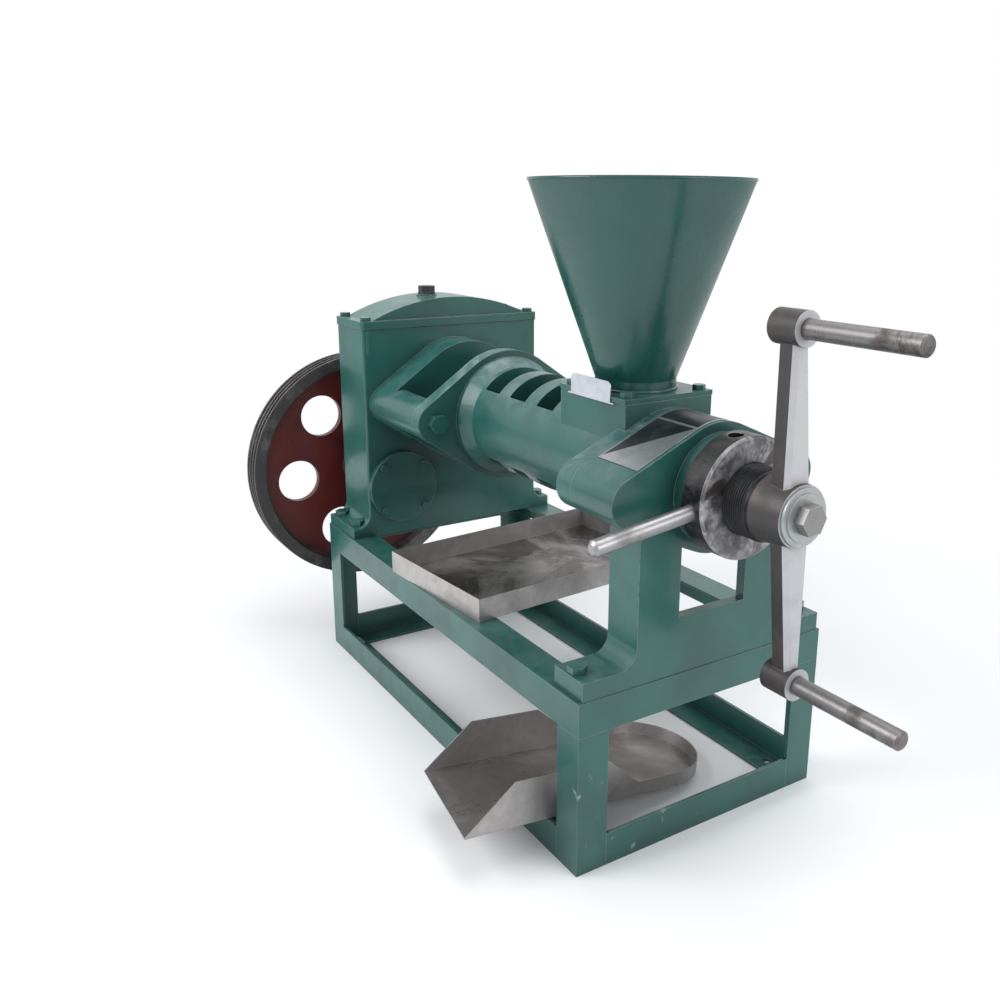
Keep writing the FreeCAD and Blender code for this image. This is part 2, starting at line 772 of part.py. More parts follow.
def make_housing():
    """Cast housing: box on a flared foot, bearing bosses, lobed nose and two bolt posts."""
    body = new_body("gearbox_housing")
    profile = new_sketch(body, "YZ", GEARBOX_REAR)
    foot_top = "frame_height + gearbox_foot_thick"
    draw_polygon(profile, [
        (f"-{HALF_FOOT}", "frame_height"),
        (HALF_FOOT, "frame_height"),
        (HALF_FOOT, foot_top),
        (HALF_BOX, foot_top),
        (HALF_BOX, GEARBOX_TOP),
        (f"-{HALF_BOX}", GEARBOX_TOP),
        (f"-{HALF_BOX}", foot_top),
        (f"-{HALF_FOOT}", foot_top),
    ])
    shell = pad(body, profile, "gearbox_depth")
    corner_y = number(HALF_BOX)
    corner_z = number(foot_top)
    along_x = Vector(1, 0, 0)
    fillet_edges(body, shell, "gearbox_foot_fillet", lambda middle, edge: runs_along(edge, along_x)
                 and abs(abs(middle.y) - corner_y) < 0.01 and abs(middle.z - corner_z) < 0.01)
    upright = Vector(0, 0, 1)
    fillet_edges(body, body.Tip, "casting_edge", lambda middle, edge: runs_along(edge, upright)
                 and abs(abs(middle.y) - corner_y) < 0.01)
    nose = new_sketch(body, "YZ", GEARBOX_FRONT)
    draw_lobed_flange(nose, "cake_core_r", AXIS)
    pad(body, nose, "main_boss_length")
    posts = new_sketch(body, "YZ", GEARBOX_FRONT)
    for side in ("", "-"):
        draw_circle(posts, f"{side}lobe_y", AXIS, "lobe_r")
    pad(body, posts, "main_boss_length + cake_gap")
    cavity = new_sketch(body, "XY", GEARBOX_TOP)
    draw_rectangle(cavity, REAR_WALL_INSIDE, f"gearbox_wall - {HALF_BOX}", FRONT_WALL_INSIDE, f"{HALF_BOX} - gearbox_wall")
    pocket(body, cavity, "gearbox_rise - gearbox_floor", along=False)
    for wall, reverse in ((REAR_WALL_INSIDE, False), (FRONT_WALL_INSIDE, True)):
        bosses = new_sketch(body, "YZ", wall)
        draw_circle(bosses, *INPUT_AXIS, "input_boss_r")
        if not reverse:
            draw_circle(bosses, *MAIN_AXIS, "main_inner_boss_r")
        pad(body, bosses, "inner_boss_length", reverse)
    lugs = new_sketch(body, "XY", GEARBOX_TOP)
    for x, y in cover_bolt_places():
        draw_circle(lugs, x, y, "cover_lug_r")
    pad(body, lugs, "cover_lug_depth", True)
    trim_lugs(body)
    rear_seat = f"{GEARBOX_REAR}"
    bored(body, rear_seat, MAIN_AXIS, "main_bearing_r", "main_bearing_width")
    bored(body, rear_seat, MAIN_AXIS, "main_bearing_r - bearing_shoulder", "gearbox_end_wall + inner_boss_length")
    bored(body, rear_seat, INPUT_AXIS, "input_bearing_r", "input_bearing_width")
    bored(body, rear_seat, INPUT_AXIS, "input_bearing_r - bearing_shoulder", "gearbox_end_wall + inner_boss_length")
    bored(body, FRONT_WALL_INSIDE, MAIN_AXIS, "main_bearing_r", "gearbox_end_wall + main_bearing_width")
    bored(body, FRONT_WALL_INSIDE, MAIN_AXIS, "seal_r", "gearbox_end_wall + main_boss_length")
    bored(body, f"{GEARBOX_FRONT} - input_bearing_width", INPUT_AXIS, "input_bearing_r", "input_bearing_width")
    bored(body, f"{FRONT_WALL_INSIDE} - inner_boss_length", INPUT_AXIS, "input_bearing_r - bearing_shoulder",
          "gearbox_end_wall + inner_boss_length")
    drill(body, "XY", foot_top, GEARBOX_FOOT_BOLTS, "foot_spot_face_r", "gearbox_foot_fillet", along=True)
    drill(body, "XY", foot_top, GEARBOX_FOOT_BOLTS, "foot_bolt_r + hole_gap", "gearbox_foot_thick", along=False)
    drill(body, "XY", GEARBOX_TOP, cover_bolt_places(), "cover_bolt_r + seat_gap", "cover_bolt_length", along=False)
    drill(body, "YZ", BOSS_END, [("lobe_y", AXIS), ("-lobe_y", AXIS)], "flange_bolt_r + seat_gap", "cake_gap")
    for centre, radius in ((INPUT_AXIS, "front_cap_r"),):
        drill(body, "YZ", GEARBOX_FRONT, circle_places(*centre, f"({radius} - cap_screw_inset)", CAP_ANGLES),
              "cap_screw_r + seat_gap", "cap_screw_length", along=False)
    for centre, radius in ((INPUT_AXIS, "rear_cap_r"), (MAIN_AXIS, "main_cap_r")):
        drill(body, "YZ", GEARBOX_REAR, circle_places(*centre, f"({radius} - cap_screw_inset)", CAP_ANGLES),
              "cap_screw_r + seat_gap", "cap_screw_length")


def trim_lugs(body):
    """Cut back what the cover's corner lugs leave outside the housing's walls."""
    outside = new_sketch(body, "XY", GEARBOX_TOP)
    wide = "(gearbox_width / 2 + cover_lug_r)"
    deep = "(gearbox_depth / 2 + cover_lug_r)"
    for side in (1, -1):
        draw_rectangle(outside, f"{GEARBOX_MIDDLE} - {deep}", f"{side} * {HALF_BOX}",
                       f"{GEARBOX_MIDDLE} + {deep}", f"{side} * {wide}")
    pocket(body, outside, "cover_lug_depth", along=False)


CAP_ANGLES = (45, 135, 225, 315)


def make_cover():
    """Arched cover on a flat rim, with a gasket, corner bolts and a breather."""
    rim_x = "(gearbox_depth / 2 + cover_overhang)"
    rim_y = "(gearbox_width / 2 + cover_overhang)"
    corner = "(casting_edge + cover_overhang)"
    dome_span = f"({rim_y} - cover_dome_inset_y)"
    dome_rear = f"({GEARBOX_MIDDLE} - {rim_x} + cover_dome_inset_x)"
    dome_length = f"(2 * ({rim_x} - cover_dome_inset_x))"
    body = new_body("gearbox_cover")
    rim = new_sketch(body, "XY", GASKET_TOP)
    draw_rounded_rectangle(rim, f"{GEARBOX_MIDDLE} - {rim_x}", f"-{rim_y}", f"{GEARBOX_MIDDLE} + {rim_x}", rim_y, corner)
    pad(body, rim, "cover_rim")
    dome = new_sketch(body, "YZ", dome_rear)
    draw_arch(dome, dome_span, GASKET_TOP, RIM_TOP, "cover_dome_rise")
    pad(body, dome, dome_length)
    boss = new_sketch(body, "XY", RIM_TOP)
    draw_circle(boss, GEARBOX_MIDDLE, "-breather_y", "breather_boss_r")
    pad(body, boss, "cover_dome_rise + breather_boss_rise")
    hollow = new_sketch(body, "YZ", f"{dome_rear} + cover_skin")
    draw_arch(hollow, f"({dome_span} - cover_skin)", GASKET_TOP, RIM_TOP, "(cover_dome_rise - cover_skin)")
    pocket(body, hollow, f"{dome_length} - 2 * cover_skin")
    drill(body, "XY", RIM_TOP, [(GEARBOX_MIDDLE, "-breather_y")], "breather_r + seat_gap",
          "cover_dome_rise + breather_boss_rise")
    drill(body, "XY", RIM_TOP, cover_bolt_places(), "cover_bolt_r + hole_gap", "cover_rim", along=False)

    gasket = new_body("cover_gasket")
    sheet = new_sketch(gasket, "XY", GEARBOX_TOP)
    draw_rectangle(sheet, GEARBOX_REAR, f"-{HALF_BOX}", GEARBOX_FRONT, HALF_BOX)
    pad(gasket, sheet, "gasket_thick")
    opening = new_sketch(gasket, "XY", GASKET_TOP)
    draw_rectangle(opening, f"{dome_rear} + cover_skin", f"cover_skin - {dome_span}",
                   f"{dome_rear} + {dome_length} - cover_skin", f"{dome_span} - cover_skin")
    pocket(gasket, opening, "gasket_thick", along=False)
    drill(gasket, "XY", GASKET_TOP, cover_bolt_places(), "cover_bolt_r + hole_gap", "gasket_thick", along=False)

    hex_bolts("cover_bolts", "XY", RIM_TOP, cover_bolt_places(), "cover_bolt_flats", "cover_bolt_head",
              "cover_bolt_r", "cover_bolt_length")

    plug = new_body("breather_plug", x=GEARBOX_MIDDLE, y="-breather_y",
                    z=f"{RIM_TOP} + cover_dome_rise + breather_boss_rise")
    washer = new_sketch(plug, "XY")
    draw_circle(washer, "0", "0", "breather_washer_r")
    pad(plug, washer, "breather_washer")
    head = new_sketch(plug, "XY", "breather_washer")
    draw_hexagon(head, "0", "0", "breather_flats")
    pad(plug, head, "breather_height")
    shank = new_sketch(plug, "XY")
    draw_circle(shank, "0", "0", "breather_r")
    pad(plug, shank, "breather_depth", True)


def bearing_cap(name, start, length, centre, radius, hole=None):
    """Make a round bearing cap with its screw holes and, where asked, a shaft hole."""
    body = new_body(name)
    disc = new_sketch(body, "YZ", start)
    draw_circle(disc, *centre, radius)
    if hole is not None:
        draw_circle(disc, *centre, hole)
    pad(body, disc, length)
    drill(body, "YZ", start, circle_places(*centre, f"({radius} - cap_screw_inset)", CAP_ANGLES),
          "cap_screw_r + hole_gap", length)


def make_caps():
    """Bearing caps on both faces, and all of their screws."""
    rear = f"({GEARBOX_REAR} - cap_thick)"
    bearing_cap("input_cap_front", GEARBOX_FRONT, "front_cap_thick", INPUT_AXIS, "front_cap_r")
    bearing_cap("input_cap_rear", rear, "cap_thick", INPUT_AXIS, "rear_cap_r", "input_shaft_r + hole_gap")
    bearing_cap("main_cap_rear", rear, "cap_thick", MAIN_AXIS, "main_cap_r")
    screws = new_body("cap_screws")
    groups = (
        (f"({GEARBOX_FRONT} + front_cap_thick)", INPUT_AXIS, "front_cap_r", True),
        (rear, INPUT_AXIS, "rear_cap_r", False),
        (rear, MAIN_AXIS, "main_cap_r", False),
    )
    for seat, centre, radius, outwards in groups:
        places = circle_places(*centre, f"({radius} - cap_screw_inset)", CAP_ANGLES)
        for size, length, reverse in (("cap_screw_head_r", "cap_screw_head", not outwards),
                                      ("cap_screw_r", "cap_screw_length", outwards)):
            sketch = new_sketch(screws, "YZ", seat)
            for x, y in places:
                draw_circle(sketch, x, y, size)
            pad(screws, sketch, length, reverse)


def make_bearings():
    """Bearings, each a plain ring, and the shaft seal."""
    front = f"({GEARBOX_FRONT} + main_bearing_width)"
    main = ("hollow_shaft_r + running_fit", "main_bearing_r - running_fit", "bearing_chamfer")
    turned("main_bearing_front", ring_profile(f"({front} - main_bearing_width)", "main_bearing_width", *main), z=AXIS)
    turned("main_bearing_rear", ring_profile(GEARBOX_REAR, "main_bearing_width", *main), z=AXIS)
    small = ("input_shaft_r + running_fit", "input_bearing_r - running_fit", "bearing_chamfer")
    body = new_body("input_bearings", y=INPUT_Y, z=INPUT_Z)
    for start in (GEARBOX_REAR, f"({GEARBOX_FRONT} - input_bearing_width)"):
        sketch = new_sketch(body, "XZ")
        draw_polygon(sketch, ring_profile(start, "input_bearing_width", *small))
        revolve(body, sketch)
    turned("shaft_seal", ring_profile(f"({BOSS_END} - seal_width)", "seal_width", "hollow_shaft_r + running_fit",
                                      "seal_r - running_fit"), z=AXIS)


# ---------------------------------------------------------------------------------------------------
# Gear train and pulley
# ---------------------------------------------------------------------------------------------------
def gear_outline(module, teeth, pressure, backlash, phase):
    """Work out a spur gear's outline in the YZ plane about the X axis, with involute flanks.

    Each flank is one arc through three points of the true involute.
    """
    pitch_r = module * teeth / 2
    base_r = pitch_r * math.cos(math.radians(pressure))
    tip_r = pitch_r + module
    root_r = pitch_r - 1.25 * module

    def involute(radius):
        ratio = max(radius / base_r, 1)
        return math.sqrt(ratio ** 2 - 1) - math.acos(1 / ratio)

    half_pitch_angle = (math.pi * module / 2 - backlash / 2) / (2 * pitch_r)
    half_base_angle = half_pitch_angle + involute(pitch_r)
    start_r = max(base_r, root_r)
    radii = (start_r, (start_r + tip_r) / 2, tip_r)

    def spot(radius, angle):
        return Vector(0, radius * math.cos(angle), radius * math.sin(angle))

    edges = []
    step = 2 * math.pi / teeth
    for tooth in range(teeth):
        centre = phase + tooth * step
        rising = [spot(r, centre - half_base_angle + involute(r)) for r in radii]
        falling = [spot(r, centre + half_base_angle - involute(r)) for r in reversed(radii)]
        foot_in = spot(root_r, centre - half_base_angle)
        foot_out = spot(root_r, centre + half_base_angle)
        next_in = spot(root_r, centre + step - half_base_angle)
        if root_r < base_r:
            edges.append(Part.LineSegment(foot_in, rising[0]).toShape())
        edges.append(Part.Arc(*rising).toShape())
        edges.append(Part.LineSegment(rising[2], falling[0]).toShape())
        edges.append(Part.Arc(*falling).toShape())
        if root_r < base_r:
            edges.append(Part.LineSegment(falling[2], foot_out).toShape())
            edges.append(Part.LineSegment(foot_out, next_in).toShape())
        else:
            following = spot(start_r, centre + step - half_base_angle + involute(start_r))
            edges.append(Part.LineSegment(falling[2], following).toShape())
    return Part.Face(Part.Wire(Part.__sortEdges__(edges)))


def along_axis(radius, start, length):
    """Make a cylinder along X from a station, about the local axis."""
    return Part.makeCylinder(number(radius), number(length), Vector(number(start), 0, 0), Vector(1, 0, 0))


def key_slot(start, length, clearance):
    """Make the box of a key slot on the +Z side of a shaft, from the middle of the key outward."""
    width = number("key_width") + 2 * clearance
    return width, number(start), number(length)


def slot_block(radius, depth, start, length, width):
    """Make a block that cuts a slot of a depth into (or a key out of) a shaft's +Z side."""
    return Part.makeBox(length, width, depth, Vector(start, -width / 2, radius))


def keep_shape(name, shape, x="0", y="0", z="0"):
    """Keep a computed solid as a plain feature with its placement bound to the sheet."""
    feature = DOCUMENT.addObject("Part::Feature", name)
    feature.Label = name
    feature.Shape = shape
    place(feature, x=x, y=y, z=z)
    PARTS.append(feature)
    return feature


HUB_LENGTH = "gear_face"
GEAR_KEY_START = f"({GEAR_REAR} + gear_face / 2 - key_length / 2)"
KEY_IN_SHAFT = "(key_height / 2)"
KEY_SLOT_WIDTH = "(key_width + 2 * running_fit)"


def make_gears():
    """Main gear with a dished web, keyed to the hollow shaft; pinion cut on the input shaft."""
    fit = number("running_fit")
    line_angle = math.radians(180 + number("input_angle"))
    outline = gear_outline(number("gear_module"), int(SIZES["gear_teeth"]), number("gear_pressure_angle"),
                           number("gear_backlash"), line_angle)
    outline.translate(Vector(number(GEAR_REAR), 0, 0))
    gear = outline.extrude(Vector(number("gear_face"), 0, 0))
    root = "(gear_module * gear_teeth / 2 - 1.25 * gear_module - gear_rim)"
    depth = "((gear_face - gear_web) / 2)"
    for start in (GEAR_REAR, f"({GEAR_REAR} + gear_face - {depth})"):
        dish = along_axis(root, start, depth).cut(along_axis("gear_hub_r", start, depth))
        gear = gear.cut(dish)
    bore = along_axis(f"(hollow_shaft_r + {fit})", GEAR_REAR, "gear_face")
    slot = slot_block(0, number(f"hollow_shaft_r + {KEY_IN_SHAFT} + seat_gap"), number(GEAR_REAR),
                      number("gear_face"), number(KEY_SLOT_WIDTH))
    keep_shape("main_gear", gear.cut(bore.fuse(slot)).removeSplitter(), z=AXIS)

    teeth = int(SIZES["pinion_teeth"])
    phase = line_angle + math.pi + math.pi / teeth
    outline = gear_outline(number("gear_module"), teeth, number("gear_pressure_angle"), number("gear_backlash"), phase)
    outline.translate(Vector(number(GEAR_REAR), 0, 0))
    pinion = outline.extrude(Vector(number("gear_face"), 0, 0))
    shaft = along_axis("input_shaft_r", PULLEY_FRONT, f"{GEARBOX_FRONT} - bearing_shoulder - {PULLEY_FRONT}")
    seat_length = f"({PULLEY_WIDTH} - bearing_shoulder)"
    seat = along_axis("pulley_seat_r", f"({PULLEY_FRONT} - {seat_length})", seat_length)
    hole = along_axis("pulley_bolt_r + seat_gap", f"({PULLEY_FRONT} - {seat_length})", "pulley_bolt_length")
    slot = slot_block(number(f"pulley_seat_r - {KEY_IN_SHAFT}"), number("key_height"), number(PULLEY_KEY_START) - fit,
                      number("key_length") + 2 * fit, number(KEY_SLOT_WIDTH))
    shape = pinion.fuse([shaft, seat]).cut(hole.fuse(slot)).removeSplitter()
    keep_shape("input_shaft", shape, y=INPUT_Y, z=INPUT_Z)


PULLEY_HUB_REAR = f"({PULLEY_FRONT} + running_fit - pulley_hub_length)"
PULLEY_KEY_START = f"({PULLEY_FRONT} - key_length - running_fit - seat_gap)"


def make_pulley():
    """Three-groove belt pulley with a holed web, its key and its end fixing."""
    inner = "(pulley_r - pulley_rim)"
    middle = f"({PULLEY_REAR} + {PULLEY_WIDTH} / 2)"
    web_rear = f"({middle} - pulley_web / 2)"
    web_front = f"({middle} + pulley_web / 2)"
    points = [(PULLEY_FRONT, "pulley_seat_r + running_fit"), (PULLEY_FRONT, "pulley_hub_r"), (web_front, "pulley_hub_r"),
              (web_front, inner), (PULLEY_FRONT, f"{inner} + groove_land"), (PULLEY_FRONT, "pulley_r")]
    for groove in range(int(SIZES["pulley_grooves"])):
        centre = f"({PULLEY_FRONT} - groove_edge - {groove} * groove_pitch)"
        points.append((f"{centre} + groove_top / 2", "pulley_r"))
        points.append((f"{centre} + groove_bottom / 2", "pulley_r - groove_depth"))
        points.append((f"{centre} - groove_bottom / 2", "pulley_r - groove_depth"))
        points.append((f"{centre} - groove_top / 2", "pulley_r"))
    points += [(PULLEY_REAR, "pulley_r"), (PULLEY_REAR, f"{inner} + groove_land"), (web_rear, inner),
               (web_rear, "pulley_hub_r"), (PULLEY_HUB_REAR, "pulley_hub_r"),
               (PULLEY_HUB_REAR, "pulley_seat_r + running_fit")]
    body = turned("drive_pulley", points, y=INPUT_Y, z=INPUT_Z)
    sketch = new_sketch(body, "YZ", web_rear)
    draw_circle(sketch, "pulley_hole_circle * cos(pulley_hole_phase)", "pulley_hole_circle * sin(pulley_hole_phase)",
                "pulley_hole_r")
    hole = pocket(body, sketch, "pulley_web")
    body.Tip = hole
    pattern = body.newObject("PartDesign::PolarPattern", "pulley_holes")
    pattern.Originals = [hole]
    pattern.Axis = (sketch, ["N_Axis"])
    pattern.Angle = 360
    pattern.Occurrences = 6
    body.Tip = pattern
    move_axis(pattern, body)
    slot = new_sketch(body, "YZ", PULLEY_HUB_REAR)
    draw_rectangle(slot, f"-{KEY_SLOT_WIDTH} / 2", "0", f"{KEY_SLOT_WIDTH} / 2",
                   f"pulley_seat_r + {KEY_IN_SHAFT} + seat_gap")
    pocket(body, slot, "pulley_hub_length")

    block_key("pulley_key", PULLEY_KEY_START, f"pulley_seat_r - {KEY_IN_SHAFT} + running_fit",
              y=INPUT_Y, z=INPUT_Z)
    washer = f"({PULLEY_HUB_REAR} - pulley_washer)"
    turned("pulley_washer", ring_profile(washer, "pulley_washer", "pulley_bolt_r + seat_gap", "pulley_washer_r"),
           y=INPUT_Y, z=INPUT_Z)
    hex_bolts("pulley_bolt", "YZ", washer, [INPUT_AXIS], "pulley_bolt_flats", "pulley_bolt_head", "pulley_bolt_r",
              "pulley_bolt_length", outwards=False)


def move_axis(pattern, body):
    """Point a polar pattern at its body's own X axis."""
    for feature in body.Origin.OriginFeatures:
        if feature.Role == "X_Axis":
            pattern.Axis = (feature, [""])


def block_key(name, start, bottom, **where):
    """Make a plain key lying along X on the +Z side of a shaft."""
    body = new_body(name, **where)
    sketch = new_sketch(body, "YZ", start)
    draw_rectangle(sketch, "-key_width / 2", bottom, "key_width / 2", f"{bottom} + key_height - running_fit")
    pad(body, sketch, "key_length")
    return body


SHAFT_START = f"({GEARBOX_REAR} + hollow_shaft_inset)"
SHAFT_LENGTH = f"({BOSS_END} - hollow_shaft_stop - {SHAFT_START})"


def make_hollow_shaft():
    """Hollow output shaft with an outer slot for the gear's key and an inner one for the feather key."""
    body = turned("hollow_shaft", ring_profile(SHAFT_START, SHAFT_LENGTH, "tail_r + running_fit", "hollow_shaft_r"), z=AXIS)
    slot = new_sketch(body, "XY", "hollow_shaft_r - key_height / 2")
    draw_rectangle(slot, f"{GEAR_KEY_START} - running_fit", f"-{KEY_SLOT_WIDTH} / 2",
                   f"{GEAR_KEY_START} + key_length + running_fit", f"{KEY_SLOT_WIDTH} / 2")
    pocket(body, slot, "key_height", along=True)
    way = new_sketch(body, "YZ", SHAFT_START)
    draw_rectangle(way, f"-{KEY_SLOT_WIDTH} / 2", f"-tail_r - {KEY_IN_SHAFT} - seat_gap", f"{KEY_SLOT_WIDTH} / 2", "0")
    pocket(body, way, SHAFT_LENGTH)
    block_key("gear_key", GEAR_KEY_START, f"hollow_shaft_r - {KEY_IN_SHAFT} + running_fit", z=AXIS)


# ---------------------------------------------------------------------------------------------------
# Press screw
# ---------------------------------------------------------------------------------------------------
TAIL_START = f"({GEARBOX_REAR} + tail_start)"
NECK_START = f"({GEARBOX_REAR} + neck_start)"
CONE_START = f"({BARREL_REAR} - cone_overhang)"
WORM_START = f"({CONE_START} + cone_length)"
FLIGHT_START = f"({BARS_START} + flight_start)"
CORE_BORE = "core_r + running_fit"
FEATHER_START = f"({TAIL_START} + key_length)"


def make_screw():
    """Press screw: shaft with a collar, a worm sleeve, a cake cone and a feather key."""
    body = turned("screw_shaft", [
        (TAIL_START, "0"), (f"{COLLAR_FRONT} + pilot_length", "0"), (f"{COLLAR_FRONT} + pilot_length", "core_r - 2"),
        (f"{COLLAR_FRONT} + pilot_length - 2", "core_r"), (COLLAR_FRONT, "core_r"), (COLLAR_FRONT, "collar_r"),
        (COLLAR_REAR, "collar_r"), (COLLAR_REAR, "core_r"), (CONE_START, "core_r"), (CONE_START, "screw_neck_r"),
        (NECK_START, "screw_neck_r"), (NECK_START, "tail_r"), (TAIL_START, "tail_r"),
    ], z=AXIS)
    slot = new_sketch(body, "XY", "key_height / 2 - tail_r")
    draw_rectangle(slot, f"{FEATHER_START} - running_fit", f"-{KEY_SLOT_WIDTH} / 2",
                   f"{FEATHER_START} + key_length + running_fit", f"{KEY_SLOT_WIDTH} / 2")
    pocket(body, slot, "key_height", along=False)
    block_key("feather_key", FEATHER_START, f"-tail_r - {KEY_IN_SHAFT}", z=AXIS)
    turned("cake_cone", [
        (CONE_START, CORE_BORE), (WORM_START, CORE_BORE), (WORM_START, "cone_small_r"), (CONE_START, "cone_large_r"),
    ], z=AXIS)

    worm = turned("screw_worm", ring_profile(WORM_START, f"{COLLAR_REAR} - {WORM_START}", CORE_BORE, "worm_root_r"), z=AXIS)
    profile = new_sketch(worm, "XZ")
    inset = "((worm_flight_root - worm_flight_tip) / 2)"
    sunk = "(worm_root_r - 1)"
    draw_polygon(profile, [
        (FLIGHT_START, sunk), (f"{FLIGHT_START} + worm_flight_root", sunk),
        (f"{FLIGHT_START} + worm_flight_root - {inset}", "worm_tip_r"), (f"{FLIGHT_START} + {inset}", "worm_tip_r"),
    ])
    helix = worm.newObject("PartDesign::AdditiveHelix", "worm_flight")
    helix.Profile = profile
    helix.ReferenceAxis = (profile, ["H_Axis"])
    helix.Mode = 0
    bind(helix, "Pitch", "worm_pitch")
    bind(helix, "Height", f"{COLLAR_REAR} - {FLIGHT_START} - worm_flight_root - flight_margin")
    helix.Reversed = False

    turned("thrust_bearing", ring_profile(SLEEVE_REAR, "thrust_bearing_width", CORE_BORE, "thrust_bearing_r",
                                          "bearing_chamfer"), z=AXIS)


# ---------------------------------------------------------------------------------------------------
# Press barrel
# ---------------------------------------------------------------------------------------------------
BARREL_LENGTH = f"({HEAD_REAR} - {BARREL_REAR})"
FRONT_FLANGE_REAR = f"({HEAD_REAR} - front_flange_thick)"


def make_barrel():
    """Barrel with lobed flanges, arc slots above and below, and the feed box on top."""
    body = new_body("press_barrel", z=AXIS)
    flange = new_sketch(body, "YZ", BARREL_REAR)
    draw_lobed_flange(flange, "cake_core_r")
    pad(body, flange, "flange_thick")
    land = f"({BARREL_REAR} + flange_thick + neck_land)"
    neck = new_sketch(body, "XZ")
    draw_polygon(neck, [
        (BARREL_REAR, "0"), (HEAD_REAR, "0"), (HEAD_REAR, "barrel_r"), (f"{land} + neck_run", "barrel_r"),
        (land, "neck_r"), (BARREL_REAR, "neck_r"),
    ])
    revolve(body, neck)
    flange = new_sketch(body, "YZ", FRONT_FLANGE_REAR)
    draw_lobed_flange(flange, "feed_core_r")
    pad(body, flange, "front_flange_thick")
    box = new_sketch(body, "XY")
    draw_rectangle(box, BOX_REAR, "-box_width / 2", BOX_FRONT, "box_width / 2")
    pad(body, box, "box_rise + gate_slot")
    bored(body, BARREL_REAR, ("0", "0"), "bar_outer_r + seat_gap", f"choke_width + bar_length")
    bored(body, BARREL_REAR, ("0", "0"), "feed_bore_r", BARREL_LENGTH)
    reach = "(1.5 * barrel_r)"
    for slot in range(3):
        sketch = new_sketch(body, "YZ", f"{BARREL_REAR} + slot_first + {slot} * slot_pitch")
        for up in (1, -1):
            draw_polygon(sketch, [
                ("0", f"{up} * bar_bore_r / 2"),
                (f"{reach} * sin(slot_angle / 2)", f"{up} * {reach} * cos(slot_angle / 2)"),
                ("0", f"{up} * {reach}"),
                (f"-{reach} * sin(slot_angle / 2)", f"{up} * {reach} * cos(slot_angle / 2)"),
            ])
        pocket(body, sketch, "slot_width")
    groove = new_sketch(body, "XY", "box_rise")
    draw_rectangle(groove, f"{BOX_MIDDLE} - gate_width / 2 - seat_gap", "-box_width / 2",
                   f"{BOX_MIDDLE} + gate_width / 2 + seat_gap", "gate_reach + seat_gap")
    pocket(body, groove, "gate_slot")
    drill(body, "XY", "box_rise", [(BOX_MIDDLE, "0")], "throat_r", "throat_depth", along=False)
    throat = new_sketch(body, "XY", "box_rise")
    draw_rectangle(throat, f"{BOX_MIDDLE} - throat_length / 2", "-throat_width / 2",
                   f"{BOX_MIDDLE} + throat_length / 2", "throat_width / 2")
    pocket(body, throat, "box_rise", along=False)
    drill(body, "XY", "box_rise + gate_slot", HOPPER_BOLTS, "hopper_bolt_r + seat_gap", "hopper_bolt_length", along=False)
    drill(body, "YZ", BARREL_REAR, [("lobe_y", "0"), ("-lobe_y", "0")], "flange_bolt_r + hole_gap", "flange_thick")
    drill(body, "YZ", FRONT_FLANGE_REAR, [("lobe_y", "0"), ("-lobe_y", "0")], "flange_bolt_r + hole_gap",
          "front_flange_thick")

    slope = "((cone_large_r - cone_small_r) / cone_length)"
    rear_r = f"(cone_large_r - {slope} * cone_overhang + choke_gap)"
    ring = "(bar_outer_r)"
    turned("choke_ring", [
        (BARREL_REAR, rear_r), (BARS_START, f"{rear_r} - {slope} * choke_width"), (BARS_START, ring),
        (BARREL_REAR, ring),
    ], z=AXIS)

    bars = new_body("press_bars", z=AXIS)
    sketch = new_sketch(bars, "YZ", BARS_START)
    draw_bar(sketch)
    first = pad(bars, sketch, "bar_length")
    bars.Tip = first
    pattern = bars.newObject("PartDesign::PolarPattern", "bar_ring")
    pattern.Originals = [first]
    pattern.Angle = 360
    pattern.Occurrences = int(SIZES["bar_count"])
    move_axis(pattern, bars)
    bars.Tip = pattern


def draw_bar(sketch):
    """Draw one press bar: two arcs about the axis and two flanks that leave a slit to the next bar."""
    half = "(180 / bar_count - bar_slit / bar_outer_r * 28.6479)"
    points = []
    for radius, side in (("bar_bore_r", -1), ("bar_outer_r", -1), ("bar_outer_r", 1), ("bar_bore_r", 1)):
        points.append((f"{radius} * cos({side} * {half})", f"{radius} * sin({side} * {half})"))
    spots = [Vector(number(x), number(y), 0) for x, y in points]
    angle = number(half)
    sketch.addGeometry(Part.LineSegment(spots[0], spots[1]))
    add_arc(sketch, Vector(0, 0, 0), number("bar_outer_r"), -angle, angle)
    sketch.addGeometry(Part.LineSegment(spots[2], spots[3]))
    add_arc(sketch, Vector(0, 0, 0), number("bar_bore_r"), -angle, angle)
    for end, start in (((0, 2), (1, 1)), ((1, 2), (2, 1)), ((2, 2), (3, 2)), ((3, 1), (0, 1))):
        sketch.addConstraint(Sketcher.Constraint("Coincident", *end, *start))
    pin_point(sketch, 0, 1, *points[0])
    pin_point(sketch, 0, 2, *points[1])
    pin_point(sketch, 2, 1, *points[2])
    pin_point(sketch, 2, 2, *points[3])
    set_radius(sketch, 1, "bar_outer_r")
    set_radius(sketch, 3, "bar_bore_r")


HOPPER_BOLTS = [(f"{BOX_MIDDLE} + {a} * hopper_bolt_spacing / 2", f"{b} * hopper_bolt_spacing / 2")
                for a in (1, -1) for b in (1, -1)]
FLANGE_BOLTS = [("lobe_y", AXIS), ("-lobe_y", AXIS)]


def make_flange_bolts():
    """Large bolts that hold the barrel between the gearbox posts and the front bracket."""
    sizes = ("flange_bolt_flats", "flange_bolt_head", "flange_bolt_r", "flange_bolt_length")
    hex_bolts("rear_flange_bolts", "YZ", f"{BARREL_REAR} + flange_thick", FLANGE_BOLTS, *sizes)
    hex_bolts("front_flange_bolts", "YZ", FRONT_FLANGE_REAR, FLANGE_BOLTS, *sizes, outwards=False)


